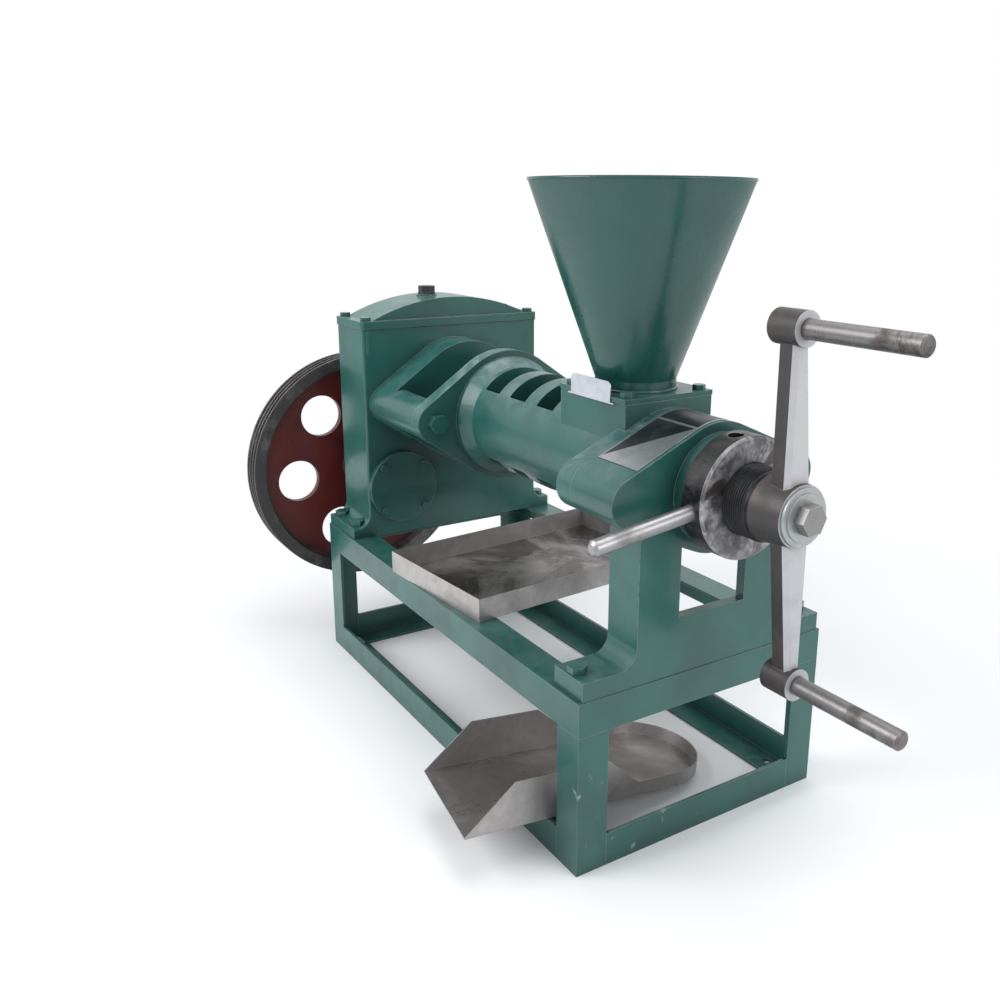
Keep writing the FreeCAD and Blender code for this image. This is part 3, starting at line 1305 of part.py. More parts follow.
# ---------------------------------------------------------------------------------------------------
# Hopper and feed gate
# ---------------------------------------------------------------------------------------------------
def make_hopper():
    """Sheet hopper on a square flange, its bolts and the sliding gate below it."""
    half = "(hopper_plate / 2)"
    plate = new_body("hopper_flange", x=BOX_MIDDLE, z=PLATE_BOTTOM)
    sketch = new_sketch(plate, "XY")
    draw_rectangle(sketch, f"-{half}", f"-{half}", half, half)
    draw_circle(sketch, "0", "0", "hopper_neck_r - hopper_wall")
    pad(plate, sketch, "hopper_plate_thick")
    places = [(f"{a} * hopper_bolt_spacing / 2", f"{b} * hopper_bolt_spacing / 2") for a in (1, -1) for b in (1, -1)]
    drill(plate, "XY", "0", places, "hopper_bolt_r + hole_gap", "hopper_plate_thick")
    hex_bolts("hopper_bolts", "XY", PLATE_TOP, HOPPER_BOLTS, "hopper_bolt_flats", "hopper_bolt_head", "hopper_bolt_r",
              "hopper_bolt_length")

    cone = new_body("hopper_cone", x=BOX_MIDDLE, z=PLATE_TOP)
    sketch = new_sketch(cone, "XZ")
    draw_polygon(sketch, [
        ("hopper_neck_r - hopper_wall", "0"), ("hopper_neck_r", "0"), ("hopper_neck_r", "hopper_neck_height"),
        ("hopper_rim_r", "hopper_height"), ("hopper_rim_r - hopper_wall", "hopper_height"),
        ("hopper_neck_r - hopper_wall", "hopper_neck_height"),
    ])
    revolve(cone, sketch, "V_Axis")

    gate = new_body("feed_gate", x=BOX_MIDDLE, z=BOX_TOP)
    sheet = new_sketch(gate, "XY")
    front = f"(hopper_plate / 2 + seat_gap + gate_thick)"
    draw_rectangle(sheet, "-gate_width / 2", f"-{front}", "gate_width / 2", "gate_reach")
    pad(gate, sheet, "gate_thick")
    tab = new_sketch(gate, "XZ", f"{front} - gate_thick")
    draw_tab(tab)
    pad(gate, tab, "gate_thick")


def draw_tab(sketch):
    """Draw the gate's upright tab, with its two top corners rounded."""
    side = "tab_width / 2"
    radius = number("tab_corner_r")
    width = number(side)
    height = number("tab_height + gate_thick")
    sketch.addGeometry(Part.LineSegment(Vector(-width, 0, 0), Vector(width, 0, 0)))
    sketch.addGeometry(Part.LineSegment(Vector(width, 0, 0), Vector(width, height - radius, 0)))
    add_arc(sketch, Vector(width - radius, height - radius, 0), radius, 0, 90)
    sketch.addGeometry(Part.LineSegment(Vector(width - radius, height, 0), Vector(radius - width, height, 0)))
    add_arc(sketch, Vector(radius - width, height - radius, 0), radius, 90, 180)
    sketch.addGeometry(Part.LineSegment(Vector(-width, height - radius, 0), Vector(-width, 0, 0)))
    close_loop(sketch, 0, 6, tangent=False)
    top = "tab_height + gate_thick"
    pin_point(sketch, 0, 1, f"-{side}", "0")
    pin_point(sketch, 0, 2, side, "0")
    pin_point(sketch, 1, 2, side, f"{top} - tab_corner_r")
    pin_point(sketch, 3, 1, f"{side} - tab_corner_r", top)
    pin_point(sketch, 3, 2, f"tab_corner_r - {side}", top)
    pin_point(sketch, 5, 1, f"-{side}", f"{top} - tab_corner_r")
    for arc in (2, 4):
        set_radius(sketch, arc, "tab_corner_r")


# ---------------------------------------------------------------------------------------------------
# Front bracket and nameplate
# ---------------------------------------------------------------------------------------------------
def make_bracket():
    """Cast front bracket: foot, two ribbed legs round a window, and the lobed threaded head."""
    body = new_body("front_bracket")
    bracket_rear = f"({HEAD_FRONT} - bracket_depth)"
    foot_top = "(frame_height + bracket_foot_thick)"
    leg = "(bracket_leg_span / 2)"
    upright = new_sketch(body, "YZ", bracket_rear)
    draw_polygon(upright, [
        ("-bracket_foot_width / 2", "frame_height"), ("bracket_foot_width / 2", "frame_height"),
        ("bracket_foot_width / 2", foot_top), (leg, foot_top), (leg, AXIS), (f"-{leg}", AXIS), (f"-{leg}", foot_top),
        ("-bracket_foot_width / 2", foot_top),
    ])
    block = pad(body, upright, "bracket_depth")
    corner_y = number(leg)
    corner_z = number(foot_top)
    along_x = Vector(1, 0, 0)
    fillet_edges(body, block, "bracket_foot_fillet", lambda middle, edge: runs_along(edge, along_x)
                 and abs(abs(middle.y) - corner_y) < 0.01 and abs(middle.z - corner_z) < 0.01)
    hollow = new_sketch(body, "YZ", bracket_rear)
    draw_rectangle(hollow, f"bracket_web - {leg}", foot_top, f"{leg} - bracket_web", AXIS)
    pocket(body, hollow, "bracket_depth - bracket_web")
    window = new_sketch(body, "YZ", f"{HEAD_FRONT} - bracket_web")
    draw_rectangle(window, "-bracket_window / 2", f"{foot_top} + bracket_sill", "bracket_window / 2", AXIS)
    pocket(body, window, "bracket_web")
    head = new_sketch(body, "YZ", HEAD_REAR)
    draw_lobed_flange(head, "feed_core_r", AXIS)
    pad(body, head, "head_length")
    boss = new_sketch(body, "YZ", HEAD_FRONT)
    draw_circle(boss, *MAIN_AXIS, "head_boss_r")
    pad(body, boss, "head_boss_length")
    bored(body, HEAD_REAR, MAIN_AXIS, "thread_r + thread_gap", "head_length + head_boss_length")
    drill(body, "YZ", HEAD_REAR, FLANGE_BOLTS, "flange_bolt_r + seat_gap", "flange_bolt_length - front_flange_thick")
    drill(body, "XY", foot_top, BRACKET_FOOT_BOLTS, "foot_bolt_r + hole_gap", "bracket_foot_thick", along=False)
    make_nameplate()


def make_nameplate():
    """Bare plate bent over the head: a flat part on the tangent and a curved part on the round."""
    lean = "asin((feed_core_r - lobe_r) / lobe_y)"
    inner = "(feed_core_r + seat_gap)"
    outer = f"({inner} + plate_thick)"
    end = "(90 - plate_reach / 3.2)"
    start_angle = 90 + number(lean)
    end_angle = number(end)

    def on_tangent(radius, run):
        return (f"-{radius} * sin({lean}) - {run} * cos({lean})", f"{radius} * cos({lean}) - {run} * sin({lean})")

    def on_arc(radius):
        return (f"{radius} * cos({end})", f"{radius} * sin({end})")

    body = new_body("nameplate", z=AXIS)
    sketch = new_sketch(body, "YZ", f"{HEAD_FRONT} - head_length + plate_margin")
    points = [on_tangent(inner, "plate_drop"), on_tangent(inner, "0"), on_arc(inner),
              on_arc(outer), on_tangent(outer, "0"), on_tangent(outer, "plate_drop")]
    spots = [Vector(number(x), number(y), 0) for x, y in points]
    sketch.addGeometry(Part.LineSegment(spots[0], spots[1]))
    add_arc(sketch, Vector(0, 0, 0), number(inner), end_angle, start_angle)
    sketch.addGeometry(Part.LineSegment(spots[2], spots[3]))
    add_arc(sketch, Vector(0, 0, 0), number(outer), end_angle, start_angle)
    sketch.addGeometry(Part.LineSegment(spots[4], spots[5]))
    sketch.addGeometry(Part.LineSegment(spots[5], spots[0]))
    joints = (((0, 2), (1, 2)), ((1, 1), (2, 1)), ((2, 2), (3, 1)), ((3, 2), (4, 1)), ((4, 2), (5, 1)), ((5, 2), (0, 1)))
    for end_point, start_point in joints:
        sketch.addConstraint(Sketcher.Constraint("Coincident", *end_point, *start_point))
    for line, position, point in ((0, 1, 0), (0, 2, 1), (2, 1, 2), (2, 2, 3), (4, 1, 4), (4, 2, 5)):
        pin_point(sketch, line, position, *points[point])
    set_radius(sketch, 1, inner)
    set_radius(sketch, 3, outer)
    pad(body, sketch, "head_length - 2 * plate_margin")


def make_foot_bolts():
    """Bolts and nuts that hold the bracket and the gearbox to the side rails."""
    sizes = ("foot_bolt_flats", "foot_bolt_head", "foot_bolt_r")
    below = "(foot_nut_height + 6 + angle_thick)"
    for name, places, thick in (("bracket_foot", BRACKET_FOOT_BOLTS, "bracket_foot_thick"),
                                ("gearbox_foot", GEARBOX_FOOT_BOLTS, "gearbox_foot_thick")):
        hex_bolts(f"{name}_bolts", "XY", f"frame_height + {thick}", places, *sizes, f"{thick} + {below}")
        nuts = new_body(f"{name}_nuts")
        sketch = new_sketch(nuts, "XY", "frame_height - angle_thick")
        for x, y in places:
            draw_hexagon(sketch, x, y, "foot_bolt_flats")
            draw_circle(sketch, x, y, "foot_bolt_r + running_fit")
        pad(nuts, sketch, "foot_nut_height", True)


# ---------------------------------------------------------------------------------------------------
# Adjusting screw, lock ring and crank
# ---------------------------------------------------------------------------------------------------
def make_adjuster():
    """Adjusting screw (plain where its thread runs), lock ring and tommy bar."""
    bearing = "thrust_bearing_r + running_fit"
    end = f"{COLLAR_FRONT} + pilot_length + seat_gap"
    turned("adjusting_screw", [
        (SLEEVE_REAR, bearing), (THRUST_FRONT, bearing), (THRUST_FRONT, CORE_BORE), (end, CORE_BORE), (end, "0"),
        (f"{HUB_FRONT} - crank_bolt_length", "0"), (f"{HUB_FRONT} - crank_bolt_length", TAPPED),
        (f"{HUB_FRONT} - seat_gap", TAPPED), (f"{HUB_FRONT} - seat_gap", "spigot_r"), (HUB_REAR, "spigot_r"),
        (HUB_REAR, "thread_r"), (SLEEVE_REAR, "thread_r"),
    ], z=AXIS)
    spigot = PARTS[-1]
    slot = new_sketch(spigot, "XY", "spigot_r - crank_key / 2")
    draw_rectangle(slot, f"{CRANK_KEY_START} - running_fit", "-crank_key / 2 - running_fit",
                   f"{CRANK_KEY_START} + crank_key_length + running_fit", "crank_key / 2 + running_fit")
    pocket(spigot, slot, "crank_key")
    turn_with_crank(spigot)

    ring = turned("lock_ring", ring_profile(RING_REAR, "ring_width", "thread_r + thread_gap", "ring_r", "ring_chamfer"),
                  z=AXIS)
    sketch = new_sketch(ring, "XY", "ring_r - tommy_seat")
    draw_circle(sketch, RING_MIDDLE, "0", "tommy_r + running_fit")
    hole = pocket(ring, sketch, "tommy_seat")
    ring.Tip = hole
    pattern = ring.newObject("PartDesign::PolarPattern", "tommy_holes")
    pattern.Originals = [hole]
    pattern.Angle = 360
    pattern.Occurrences = int(SIZES["ring_hole_count"])
    move_axis(pattern, ring)
    ring.Tip = pattern
    place(ring, z=AXIS, roll="90 + tommy_angle")

    bar = new_body("tommy_bar", x=RING_MIDDLE, z=AXIS, roll="90 + tommy_angle")
    sketch = new_sketch(bar, "XZ")
    foot = "(ring_r - tommy_seat + running_fit)"
    draw_polygon(sketch, [
        ("0", foot), ("tommy_r", foot), ("tommy_r", "tommy_reach - tommy_r / 3"), ("tommy_r / 1.6", "tommy_reach"),
        ("0", "tommy_reach"),
    ])
    revolve(bar, sketch, "V_Axis")


TAPPED = "crank_bolt_r + seat_gap"
CRANK_KEY_START = f"({HUB_REAR} + (hub_length - crank_key_length) / 2)"
ARM_REAR = f"({HUB_REAR} + (hub_length - arm_thick) * 0.75)"
BOSS_REAR = f"({HUB_FRONT} - handle_boss_length)"


def turn_with_crank(body):
    """Lean a body with the crank about the press axis."""
    place(body, z=AXIS, roll="crank_tilt")


def make_crank():
    """Two-armed crank casting with its handles, washer, bolt and key."""
    body = turned("crank_casting", [
        (HUB_REAR, "spigot_r + running_fit"), (HUB_FRONT, "spigot_r + running_fit"), (HUB_FRONT, "hub_front_r"),
        (HUB_REAR, "hub_rear_r"),
    ], z=AXIS)
    root = "(arm_root_width / 2)"
    tip = "(arm_tip_width / 2)"
    for side in (1, -1):
        arm = new_sketch(body, "YZ", ARM_REAR)
        draw_polygon(arm, [
            (f"-{root}", f"{side} * hub_front_r * 0.8"), (root, f"{side} * hub_front_r * 0.8"),
            (tip, f"{side} * (crank_radius - handle_boss_r / 2)"), (f"-{tip}", f"{side} * (crank_radius - handle_boss_r / 2)"),
        ])
        blade = pad(body, arm, "arm_thick")
        front_x = number(f"{ARM_REAR} + arm_thick")
        DOCUMENT.recompute()
        names = []
        for index, edge in enumerate(blade.Shape.Edges, start=1):
            middle = edge.valueAt((edge.FirstParameter + edge.LastParameter) / 2)
            sloping = edge.Curve.TypeId == "Part::GeomLine" and abs(edge.Curve.Direction.z) > 0.9
            if sloping and abs(middle.x - front_x) < 0.01 and middle.z * side > 0:
                names.append(f"Edge{index}")
        bevel = body.newObject("PartDesign::Chamfer", f"arm_bevel_{'upper' if side > 0 else 'lower'}")
        bevel.Base = (blade, names)
        bind(bevel, "Size", "arm_chamfer")
    bosses = new_sketch(body, "YZ", BOSS_REAR)
    for side in ("", "-"):
        draw_circle(bosses, "0", f"{side}crank_radius", "handle_boss_r")
    pad(body, bosses, "handle_boss_length")
    drill(body, "YZ", BOSS_REAR, [("0", "crank_radius"), ("0", "-crank_radius")], "handle_r + running_fit",
          "handle_boss_length")
    slot = new_sketch(body, "YZ", HUB_REAR)
    draw_rectangle(slot, "-crank_key / 2 - running_fit", "0", "crank_key / 2 + running_fit",
                   "spigot_r + crank_key / 2 + seat_gap")
    pocket(body, slot, "hub_length")
    turn_with_crank(body)

    rod_end = "(handle_boss_length + handle_reach)"
    edge = "(handle_r / 8)"
    for name, side in (("upper_handle_rod", 1), ("lower_handle_rod", -1)):
        turned(name, [
            (BOSS_REAR, "0"), (f"{BOSS_REAR} + {rod_end}", "0"), (f"{BOSS_REAR} + {rod_end}", f"handle_r - {edge}"),
            (f"{BOSS_REAR} + {rod_end} - {edge}", "handle_r"), (BOSS_REAR, "handle_r"),
        ], y=f"{-side} * crank_radius * sin(crank_tilt)", z=f"{AXIS} + {side} * crank_radius * cos(crank_tilt)")

    washer = turned("crank_washer", [
        (HUB_FRONT, TAPPED), (f"{HUB_FRONT} + washer_thick + washer_step", TAPPED),
        (f"{HUB_FRONT} + washer_thick + washer_step", "washer_inner_r"), (f"{HUB_FRONT} + washer_thick", "washer_inner_r"),
        (f"{HUB_FRONT} + washer_thick", "washer_r"), (HUB_FRONT, "washer_r"),
    ], z=AXIS)
    turn_with_crank(washer)
    hex_bolts("crank_bolt", "YZ", f"{HUB_FRONT} + washer_thick + washer_step", [("0", "0")], "crank_bolt_flats",
              "crank_bolt_head", "crank_bolt_r", "crank_bolt_length", z=AXIS, roll="crank_tilt")
    key = new_body("crank_key", z=AXIS)
    sketch = new_sketch(key, "YZ", CRANK_KEY_START)
    draw_rectangle(sketch, "-crank_key / 2", "spigot_r - crank_key / 2 + running_fit", "crank_key / 2",
                   "spigot_r + crank_key / 2")
    pad(key, sketch, "crank_key_length")
    turn_with_crank(key)


# ---------------------------------------------------------------------------------------------------
# Oil tray and cake chute
# ---------------------------------------------------------------------------------------------------
def make_tray():
    """Folded sheet tray that lies askew on the side rails."""
    body = new_body("oil_tray", x="-tray_x", y="-tray_y", z="frame_height", yaw="tray_skew")
    half_x = "(tray_length / 2)"
    half_y = "(tray_width / 2)"
    sketch = new_sketch(body, "XY")
    draw_rectangle(sketch, f"-{half_x}", f"-{half_y}", half_x, half_y)
    pad(body, sketch, "tray_height")
    inside = new_sketch(body, "XY", "tray_sheet")
    draw_rectangle(inside, f"tray_sheet - {half_x}", f"tray_sheet - {half_y}", f"{half_x} - tray_sheet",
                   f"{half_y} - tray_sheet")
    pocket(body, inside, "tray_height")


def draw_chute_outline(sketch, inset, start):
    """Draw the chute's outline: open lip, two straight sides and a round far end."""
    right = f"(-{inset})"
    left = f"({inset} - chute_width)"
    radius = f"(chute_width / 2 - {inset})"
    middle = "(-chute_width / 2)"
    lip_right = start
    lip_left = f"({start} + chute_lip_skew)"
    centre = Vector(number(middle), number("chute_straight"), 0)
    corners = [Vector(number(left), number(lip_left), 0), Vector(number(right), number(lip_right), 0)]
    sides = [Vector(number(right), centre.y, 0), Vector(number(left), centre.y, 0)]
    sketch.addGeometry(Part.LineSegment(corners[0], corners[1]))
    sketch.addGeometry(Part.LineSegment(corners[1], sides[0]))
    add_arc(sketch, centre, number(radius), 0, 180)
    sketch.addGeometry(Part.LineSegment(sides[1], corners[0]))
    close_loop(sketch, 0, 4, tangent=False)
    pin_point(sketch, 0, 1, left, lip_left)
    pin_point(sketch, 0, 2, right, lip_right)
    pin_point(sketch, 1, 2, right, "chute_straight")
    pin_point(sketch, 3, 1, left, "chute_straight")
    row = sketch.addConstraint(Sketcher.Constraint("DistanceY", -1, 1, 2, 3, centre.y))
    bind(sketch, f"Constraints[{row}]", "chute_straight")


def make_chute():
    """Folded sheet chute with an oblique open lip and a round cup, leaning on the near bottom rail."""
    low_run = "((chute_overhang + angle_thick) / cos(chute_skew) + chute_width * sin(chute_skew))"
    rise = f"(angle_leg + {low_run} * tan(chute_tilt) + seat_gap)"
    body = new_body("cake_chute", x="frame_length / 2 - chute_x", y="-frame_width / 2 - chute_overhang", z=rise,
                    yaw="chute_skew", roll="-chute_tilt")
    outline = new_sketch(body, "XY")
    draw_chute_outline(outline, "0", "0")
    pad(body, outline, "chute_wall")
    inside = new_sketch(body, "XY", "chute_sheet")
    draw_chute_outline(inside, "chute_sheet", "(-chute_lip_skew)")
    pocket(body, inside, "chute_wall")
    far = "(chute_straight + chute_width)"
    above = "(2 * chute_wall)"
    for offset, skew in (("-chute_width / 2", "0"), ("-chute_width", "chute_lip_skew")):
        sketch = new_sketch(body, "YZ", offset)
        draw_polygon(sketch, [
            (skew, "chute_sheet"), (f"{skew} + chute_lip_run", "chute_wall"), ("chute_drop_start", "chute_wall"),
            ("chute_drop_end", "chute_cup_wall"), (far, "chute_cup_wall"), (far, above), ("-chute_lip_skew", above),
            ("-chute_lip_skew", "chute_sheet"),
        ])
        pocket(body, sketch, "chute_width / 2")


# ---------------------------------------------------------------------------------------------------
# Build, check and export
# ---------------------------------------------------------------------------------------------------
def check_document():
    """Stop on any object that failed or any sub-part without a sound shape."""
    DOCUMENT.recompute()
    for thing in DOCUMENT.Objects:
        if "Invalid" in thing.State or "Error" in thing.State:
            raise RuntimeError(f"{thing.Name} is {thing.State}")
    for part in PARTS:
        if part.Shape.isNull() or not part.Shape.isValid():
            raise RuntimeError(f"{part.Label} has no sound shape")


def export_parts():
    """Write one STEP file for every sub-part."""
    os.makedirs("parts", exist_ok=True)
    for part in PARTS:
        part.Shape.exportStep(f"parts/{part.Label}.step")
        print(f"{part.Label}: {len(part.Shape.Solids)} solid(s), {part.Shape.Volume / 1000:.1f} cm3")


fill_sheet()
make_frame()
make_housing()
make_cover()
make_caps()
make_bearings()
make_gears()
make_pulley()
make_hollow_shaft()
make_screw()
make_barrel()
make_flange_bolts()
make_hopper()
make_bracket()
make_foot_bolts()
make_adjuster()
make_crank()
make_tray()
make_chute()
check_document()
export_parts()
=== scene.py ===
"""Looks, light and small detail for a screw oil press whose solids are loaded as a fixed frame.

Every length is in metres and every place is in the frame of the solids: +X runs along the press axis
towards the crank, +Y to the far side, +Z up, with the origin on the floor in the middle of the frame.
"""
import json
import logging
import math
from dataclasses import dataclass, field
from enum import Enum
from typing import Callable, Iterable, Sequence

import bmesh
import bpy
from mathutils import Matrix, Vector


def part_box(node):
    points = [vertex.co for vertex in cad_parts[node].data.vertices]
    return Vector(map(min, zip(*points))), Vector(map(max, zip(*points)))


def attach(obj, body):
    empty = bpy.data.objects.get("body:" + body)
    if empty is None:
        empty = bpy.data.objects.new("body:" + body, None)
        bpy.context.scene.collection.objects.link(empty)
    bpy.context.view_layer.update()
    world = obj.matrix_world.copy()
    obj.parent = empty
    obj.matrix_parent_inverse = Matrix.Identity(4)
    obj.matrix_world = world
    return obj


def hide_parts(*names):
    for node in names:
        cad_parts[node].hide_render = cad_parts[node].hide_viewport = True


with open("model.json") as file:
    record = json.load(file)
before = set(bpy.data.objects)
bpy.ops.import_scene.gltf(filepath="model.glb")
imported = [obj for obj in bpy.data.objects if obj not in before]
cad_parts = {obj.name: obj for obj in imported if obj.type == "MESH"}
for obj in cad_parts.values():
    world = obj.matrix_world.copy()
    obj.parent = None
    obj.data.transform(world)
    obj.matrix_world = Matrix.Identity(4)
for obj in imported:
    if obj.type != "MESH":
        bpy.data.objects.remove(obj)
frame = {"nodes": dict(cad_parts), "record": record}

LOG = logging.getLogger("screw_oil_press")
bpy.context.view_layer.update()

Colour = tuple[float, float, float]
Place = tuple[float, float, float]


# ---------------------------------------------------------------------------------------------------
# Modelling by operators
# ---------------------------------------------------------------------------------------------------
class Axis(Enum):
    """The three axes of the frame, with the rotation that turns a primitive's Z onto each."""

    X = (0.0, math.pi / 2, 0.0)
    Y = (-math.pi / 2, 0.0, 0.0)
    Z = (0.0, 0.0, 0.0)


def deselect() -> None:
    """Deselect every object, so that the next operator acts on the new one only."""
    bpy.ops.object.select_all(action="DESELECT")


def make_active(piece: bpy.types.Object) -> None:
    """Select one object alone and make it the active one."""
    deselect()
    piece.select_set(True)
    bpy.context.view_layer.objects.active = piece


def edit_mode(piece: bpy.types.Object, pick: Callable[[bmesh.types.BMFace], bool]) -> None:
    """Enter edit mode with some faces selected.

    Args:
        piece: The object to edit.
        pick: Tells for each face whether it is selected.
    """
    make_active(piece)
    bpy.ops.object.mode_set(mode="EDIT")
    bpy.ops.mesh.select_mode(type="FACE")
    bpy.ops.mesh.select_all(action="DESELECT")
    mesh = bmesh.from_edit_mesh(piece.data)
    for face in mesh.faces:
        face.select_set(pick(face))
    bmesh.update_edit_mesh(piece.data)


def object_mode() -> None:
    """Return to object mode."""
    bpy.ops.object.mode_set(mode="OBJECT")


def apply_place(piece: bpy.types.Object) -> None:
    """Put an object's place, turn and scale into its mesh."""
    make_active(piece)
    bpy.ops.object.transform_apply(location=True, rotation=True, scale=True)


def apply_modifiers(piece: bpy.types.Object) -> None:
    """Apply every modifier of a piece, first to last."""
    make_active(piece)
    for modifier in list(piece.modifiers):
        bpy.ops.object.modifier_apply(modifier=modifier.name)


def bevel(piece: bpy.types.Object, width: float, segments: int = 2) -> None:
    """Round the sharp edges of a piece.

    Args:
        piece: The piece to round.
        width: Width of the rounding.
        segments: Number of steps over the rounding.
    """
    rounding = piece.modifiers.new("rounding", "BEVEL")
    rounding.width = width
    rounding.segments = segments
    rounding.limit_method = "ANGLE"
    apply_modifiers(piece)


def outward(piece: bpy.types.Object) -> None:
    """Merge doubled points and turn every face outwards."""
    make_active(piece)
    bpy.ops.object.mode_set(mode="EDIT")
    bpy.ops.mesh.select_all(action="SELECT")
    bpy.ops.mesh.remove_doubles(threshold=1e-6)
    bpy.ops.mesh.normals_make_consistent(inside=False)
    object_mode()


def smooth(piece: bpy.types.Object, degrees: float = 35.0) -> None:
    """Shade a piece smooth except over sharp edges."""
    make_active(piece)
    bpy.ops.object.shade_smooth_by_angle(angle=math.radians(degrees))


def join(pieces: Sequence[bpy.types.Object], name: str) -> bpy.types.Object:
    """Join several pieces into one.

    Args:
        pieces: The pieces, of which the first keeps its object.
        name: Name of the joined piece.

    Returns:
        The joined piece.
    """
    deselect()
    for piece in pieces:
        piece.select_set(True)
    bpy.context.view_layer.objects.active = pieces[0]
    if len(pieces) > 1:
        bpy.ops.object.join()
    pieces[0].name = name
    return pieces[0]


def disc(name: str, radius: float, thickness: float, centre: Place, axis: Axis, sides: int = 48) -> bpy.types.Object:
    """Add a short cylinder.

    Args:
        name: Name of the new object.
        radius: Radius of the disc.
        thickness: Thickness along its axis.
        centre: Middle of the disc.
        axis: Axis that the disc stands on.
        sides: Number of sides.

    Returns:
        The new object, with its place in its mesh.
    """
    deselect()
    bpy.ops.mesh.primitive_cylinder_add(vertices=sides, radius=radius, depth=thickness, location=centre,
                                        rotation=axis.value)
    piece = bpy.context.active_object
    piece.name = name
    apply_place(piece)
    return piece


def bead(name: str, points: Sequence[Place], radius: float, closed: bool = False) -> bpy.types.Object:
    """Make a weld bead or rolled edge along a line, with the slight ripple of a hand weld.

    Args:
        name: Name of the new object.
        points: Points along the middle of the bead.
        radius: Radius of the bead.
        closed: Whether the last point joins the first.

    Returns:
        The bead as a mesh.
    """
    curve = bpy.data.curves.new(name, "CURVE")
    curve.dimensions = "3D"
    curve.bevel_depth = radius
    curve.bevel_resolution = 2
    curve.use_fill_caps = not closed
    spline = curve.splines.new("POLY")
    spline.points.add(len(points) - 1)
    for index, point in enumerate(points):
        spline.points[index].co = (*point, 1.0)
        spline.points[index].radius = 1.0 + (0.14 * math.sin(index * 1.9) if not closed else 0.0)
    spline.use_cyclic_u = closed
    piece = bpy.data.objects.new(name, curve)
    bpy.context.scene.collection.objects.link(piece)
    make_active(piece)
    bpy.ops.object.convert(target="MESH")
    piece = bpy.context.active_object
    smooth(piece, 60.0)
    return piece


def ring_points(radius: float, centre: Place, axis: Axis, count: int = 96) -> list[Place]:
    """Give points round a circle.

    Args:
        radius: Radius of the circle.
        centre: Its centre.
        axis: The axis that it lies square to.
        count: Number of points.

    Returns:
        The points in order.
    """
    points: list[Place] = []
    for index in range(count):
        angle = 2 * math.pi * index / count
        a, b = radius * math.cos(angle), radius * math.sin(angle)
        offset = {Axis.X: (0.0, a, b), Axis.Y: (b, 0.0, a), Axis.Z: (a, b, 0.0)}[axis]
        points.append((centre[0] + offset[0], centre[1] + offset[1], centre[2] + offset[2]))
    return points


def straight_points(start: Place, end: Place, step: float = 0.004) -> list[Place]:
    """Give points along a straight line, a step apart."""
    first, last = Vector(start), Vector(end)
    count = max(2, int((last - first).length / step))
    return [tuple(first.lerp(last, index / count)) for index in range(count + 1)]


# ---------------------------------------------------------------------------------------------------
# Shader building
# ---------------------------------------------------------------------------------------------------
class Net:
    """A small helper round one node tree, for adding nodes and links in a readable way."""

    def __init__(self, tree: bpy.types.NodeTree) -> None:
        """Keep the tree."""
        self.tree = tree

    def node(self, kind: str, **settings: object) -> bpy.types.Node:
        """Add a node and set its properties.

        Args:
            kind: Type of the node without the ShaderNode prefix.
            settings: Properties of the node, or values of its inputs by position as in_0, in_1 and so on.

        Returns:
            The new node.
        """
        made = self.tree.nodes.new(f"ShaderNode{kind}")
        for key, value in settings.items():
            if key.startswith("in_"):
                self.feed(made.inputs[int(key[3:])], value)
            else:
                setattr(made, key, value)
        return made

    def feed(self, socket: bpy.types.NodeSocket, value: object) -> None:
        """Link or set one input.

        Args:
            socket: The input.
            value: An output socket to link, or a plain value to set.
        """
        if isinstance(value, bpy.types.NodeSocket):
            self.tree.links.new(value, socket)
        elif isinstance(value, tuple) and len(value) == 3 and socket.type == "RGBA":
            socket.default_value = (*value, 1.0)
        else:
            socket.default_value = value

    def math(self, operation: str, a: object, b: object = 0.0, clamp: bool = False) -> bpy.types.NodeSocket:
        """Add a math node and return its output."""
        return self.node("Math", operation=operation, use_clamp=clamp, in_0=a, in_1=b).outputs[0]

    def mix(self, factor: object, a: object, b: object, blend: str = "MIX") -> bpy.types.NodeSocket:
        """Mix two colours and return the result."""
        made = self.node("Mix", data_type="RGBA", blend_type=blend)
        self.feed(made.inputs[0], factor)
        self.feed(made.inputs[6], a)
        self.feed(made.inputs[7], b)
        return made.outputs[2]

    def spread(self, value: object, low: float, high: float, to_low: float = 0.0, to_high: float = 1.0) -> bpy.types.NodeSocket:
        """Map a value from one range to another, clamped, with a smooth step."""
        return self.node("MapRange", interpolation_type="SMOOTHSTEP", in_0=value, in_1=low, in_2=high, in_3=to_low,
                         in_4=to_high).outputs[0]

    def noise(self, where: object, scale: float, detail: float = 4.0, rough: float = 0.55,
              distortion: float = 0.0) -> bpy.types.NodeSocket:
        """Add a noise texture and return its factor."""
        made = self.node("TexNoise")
        self.feed(made.inputs["Vector"], where)
        self.feed(made.inputs["Scale"], scale)
        self.feed(made.inputs["Detail"], detail)
        self.feed(made.inputs["Roughness"], rough)
        self.feed(made.inputs["Distortion"], distortion)
        return made.outputs["Fac"]

    def place(self) -> bpy.types.NodeSocket:
        """Give the Object coordinates."""
        return self.node("TexCoord").outputs["Object"]

    def stretched(self, scale: Place, turn: Place = (0.0, 0.0, 0.0)) -> bpy.types.NodeSocket:
        """Give the Object coordinates, stretched and turned."""
        made = self.node("Mapping", in_0=self.place())
        made.inputs["Scale"].default_value = scale
        made.inputs["Rotation"].default_value = turn
        return made.outputs[0]


class Effect(Enum):
    """Shader effects that several finishes share, each kept as one node group."""

    EDGES = "rounded_edges"
    # Painted shade in occluded corners from ambient occlusion, together with loose dirt patches.
    GRIME_AND_SHADE = "settled_grime"
    CAST = "sand_cast_grain"
    SCRATCH = "fine_scratches"
    CHIPS = "paint_chips"


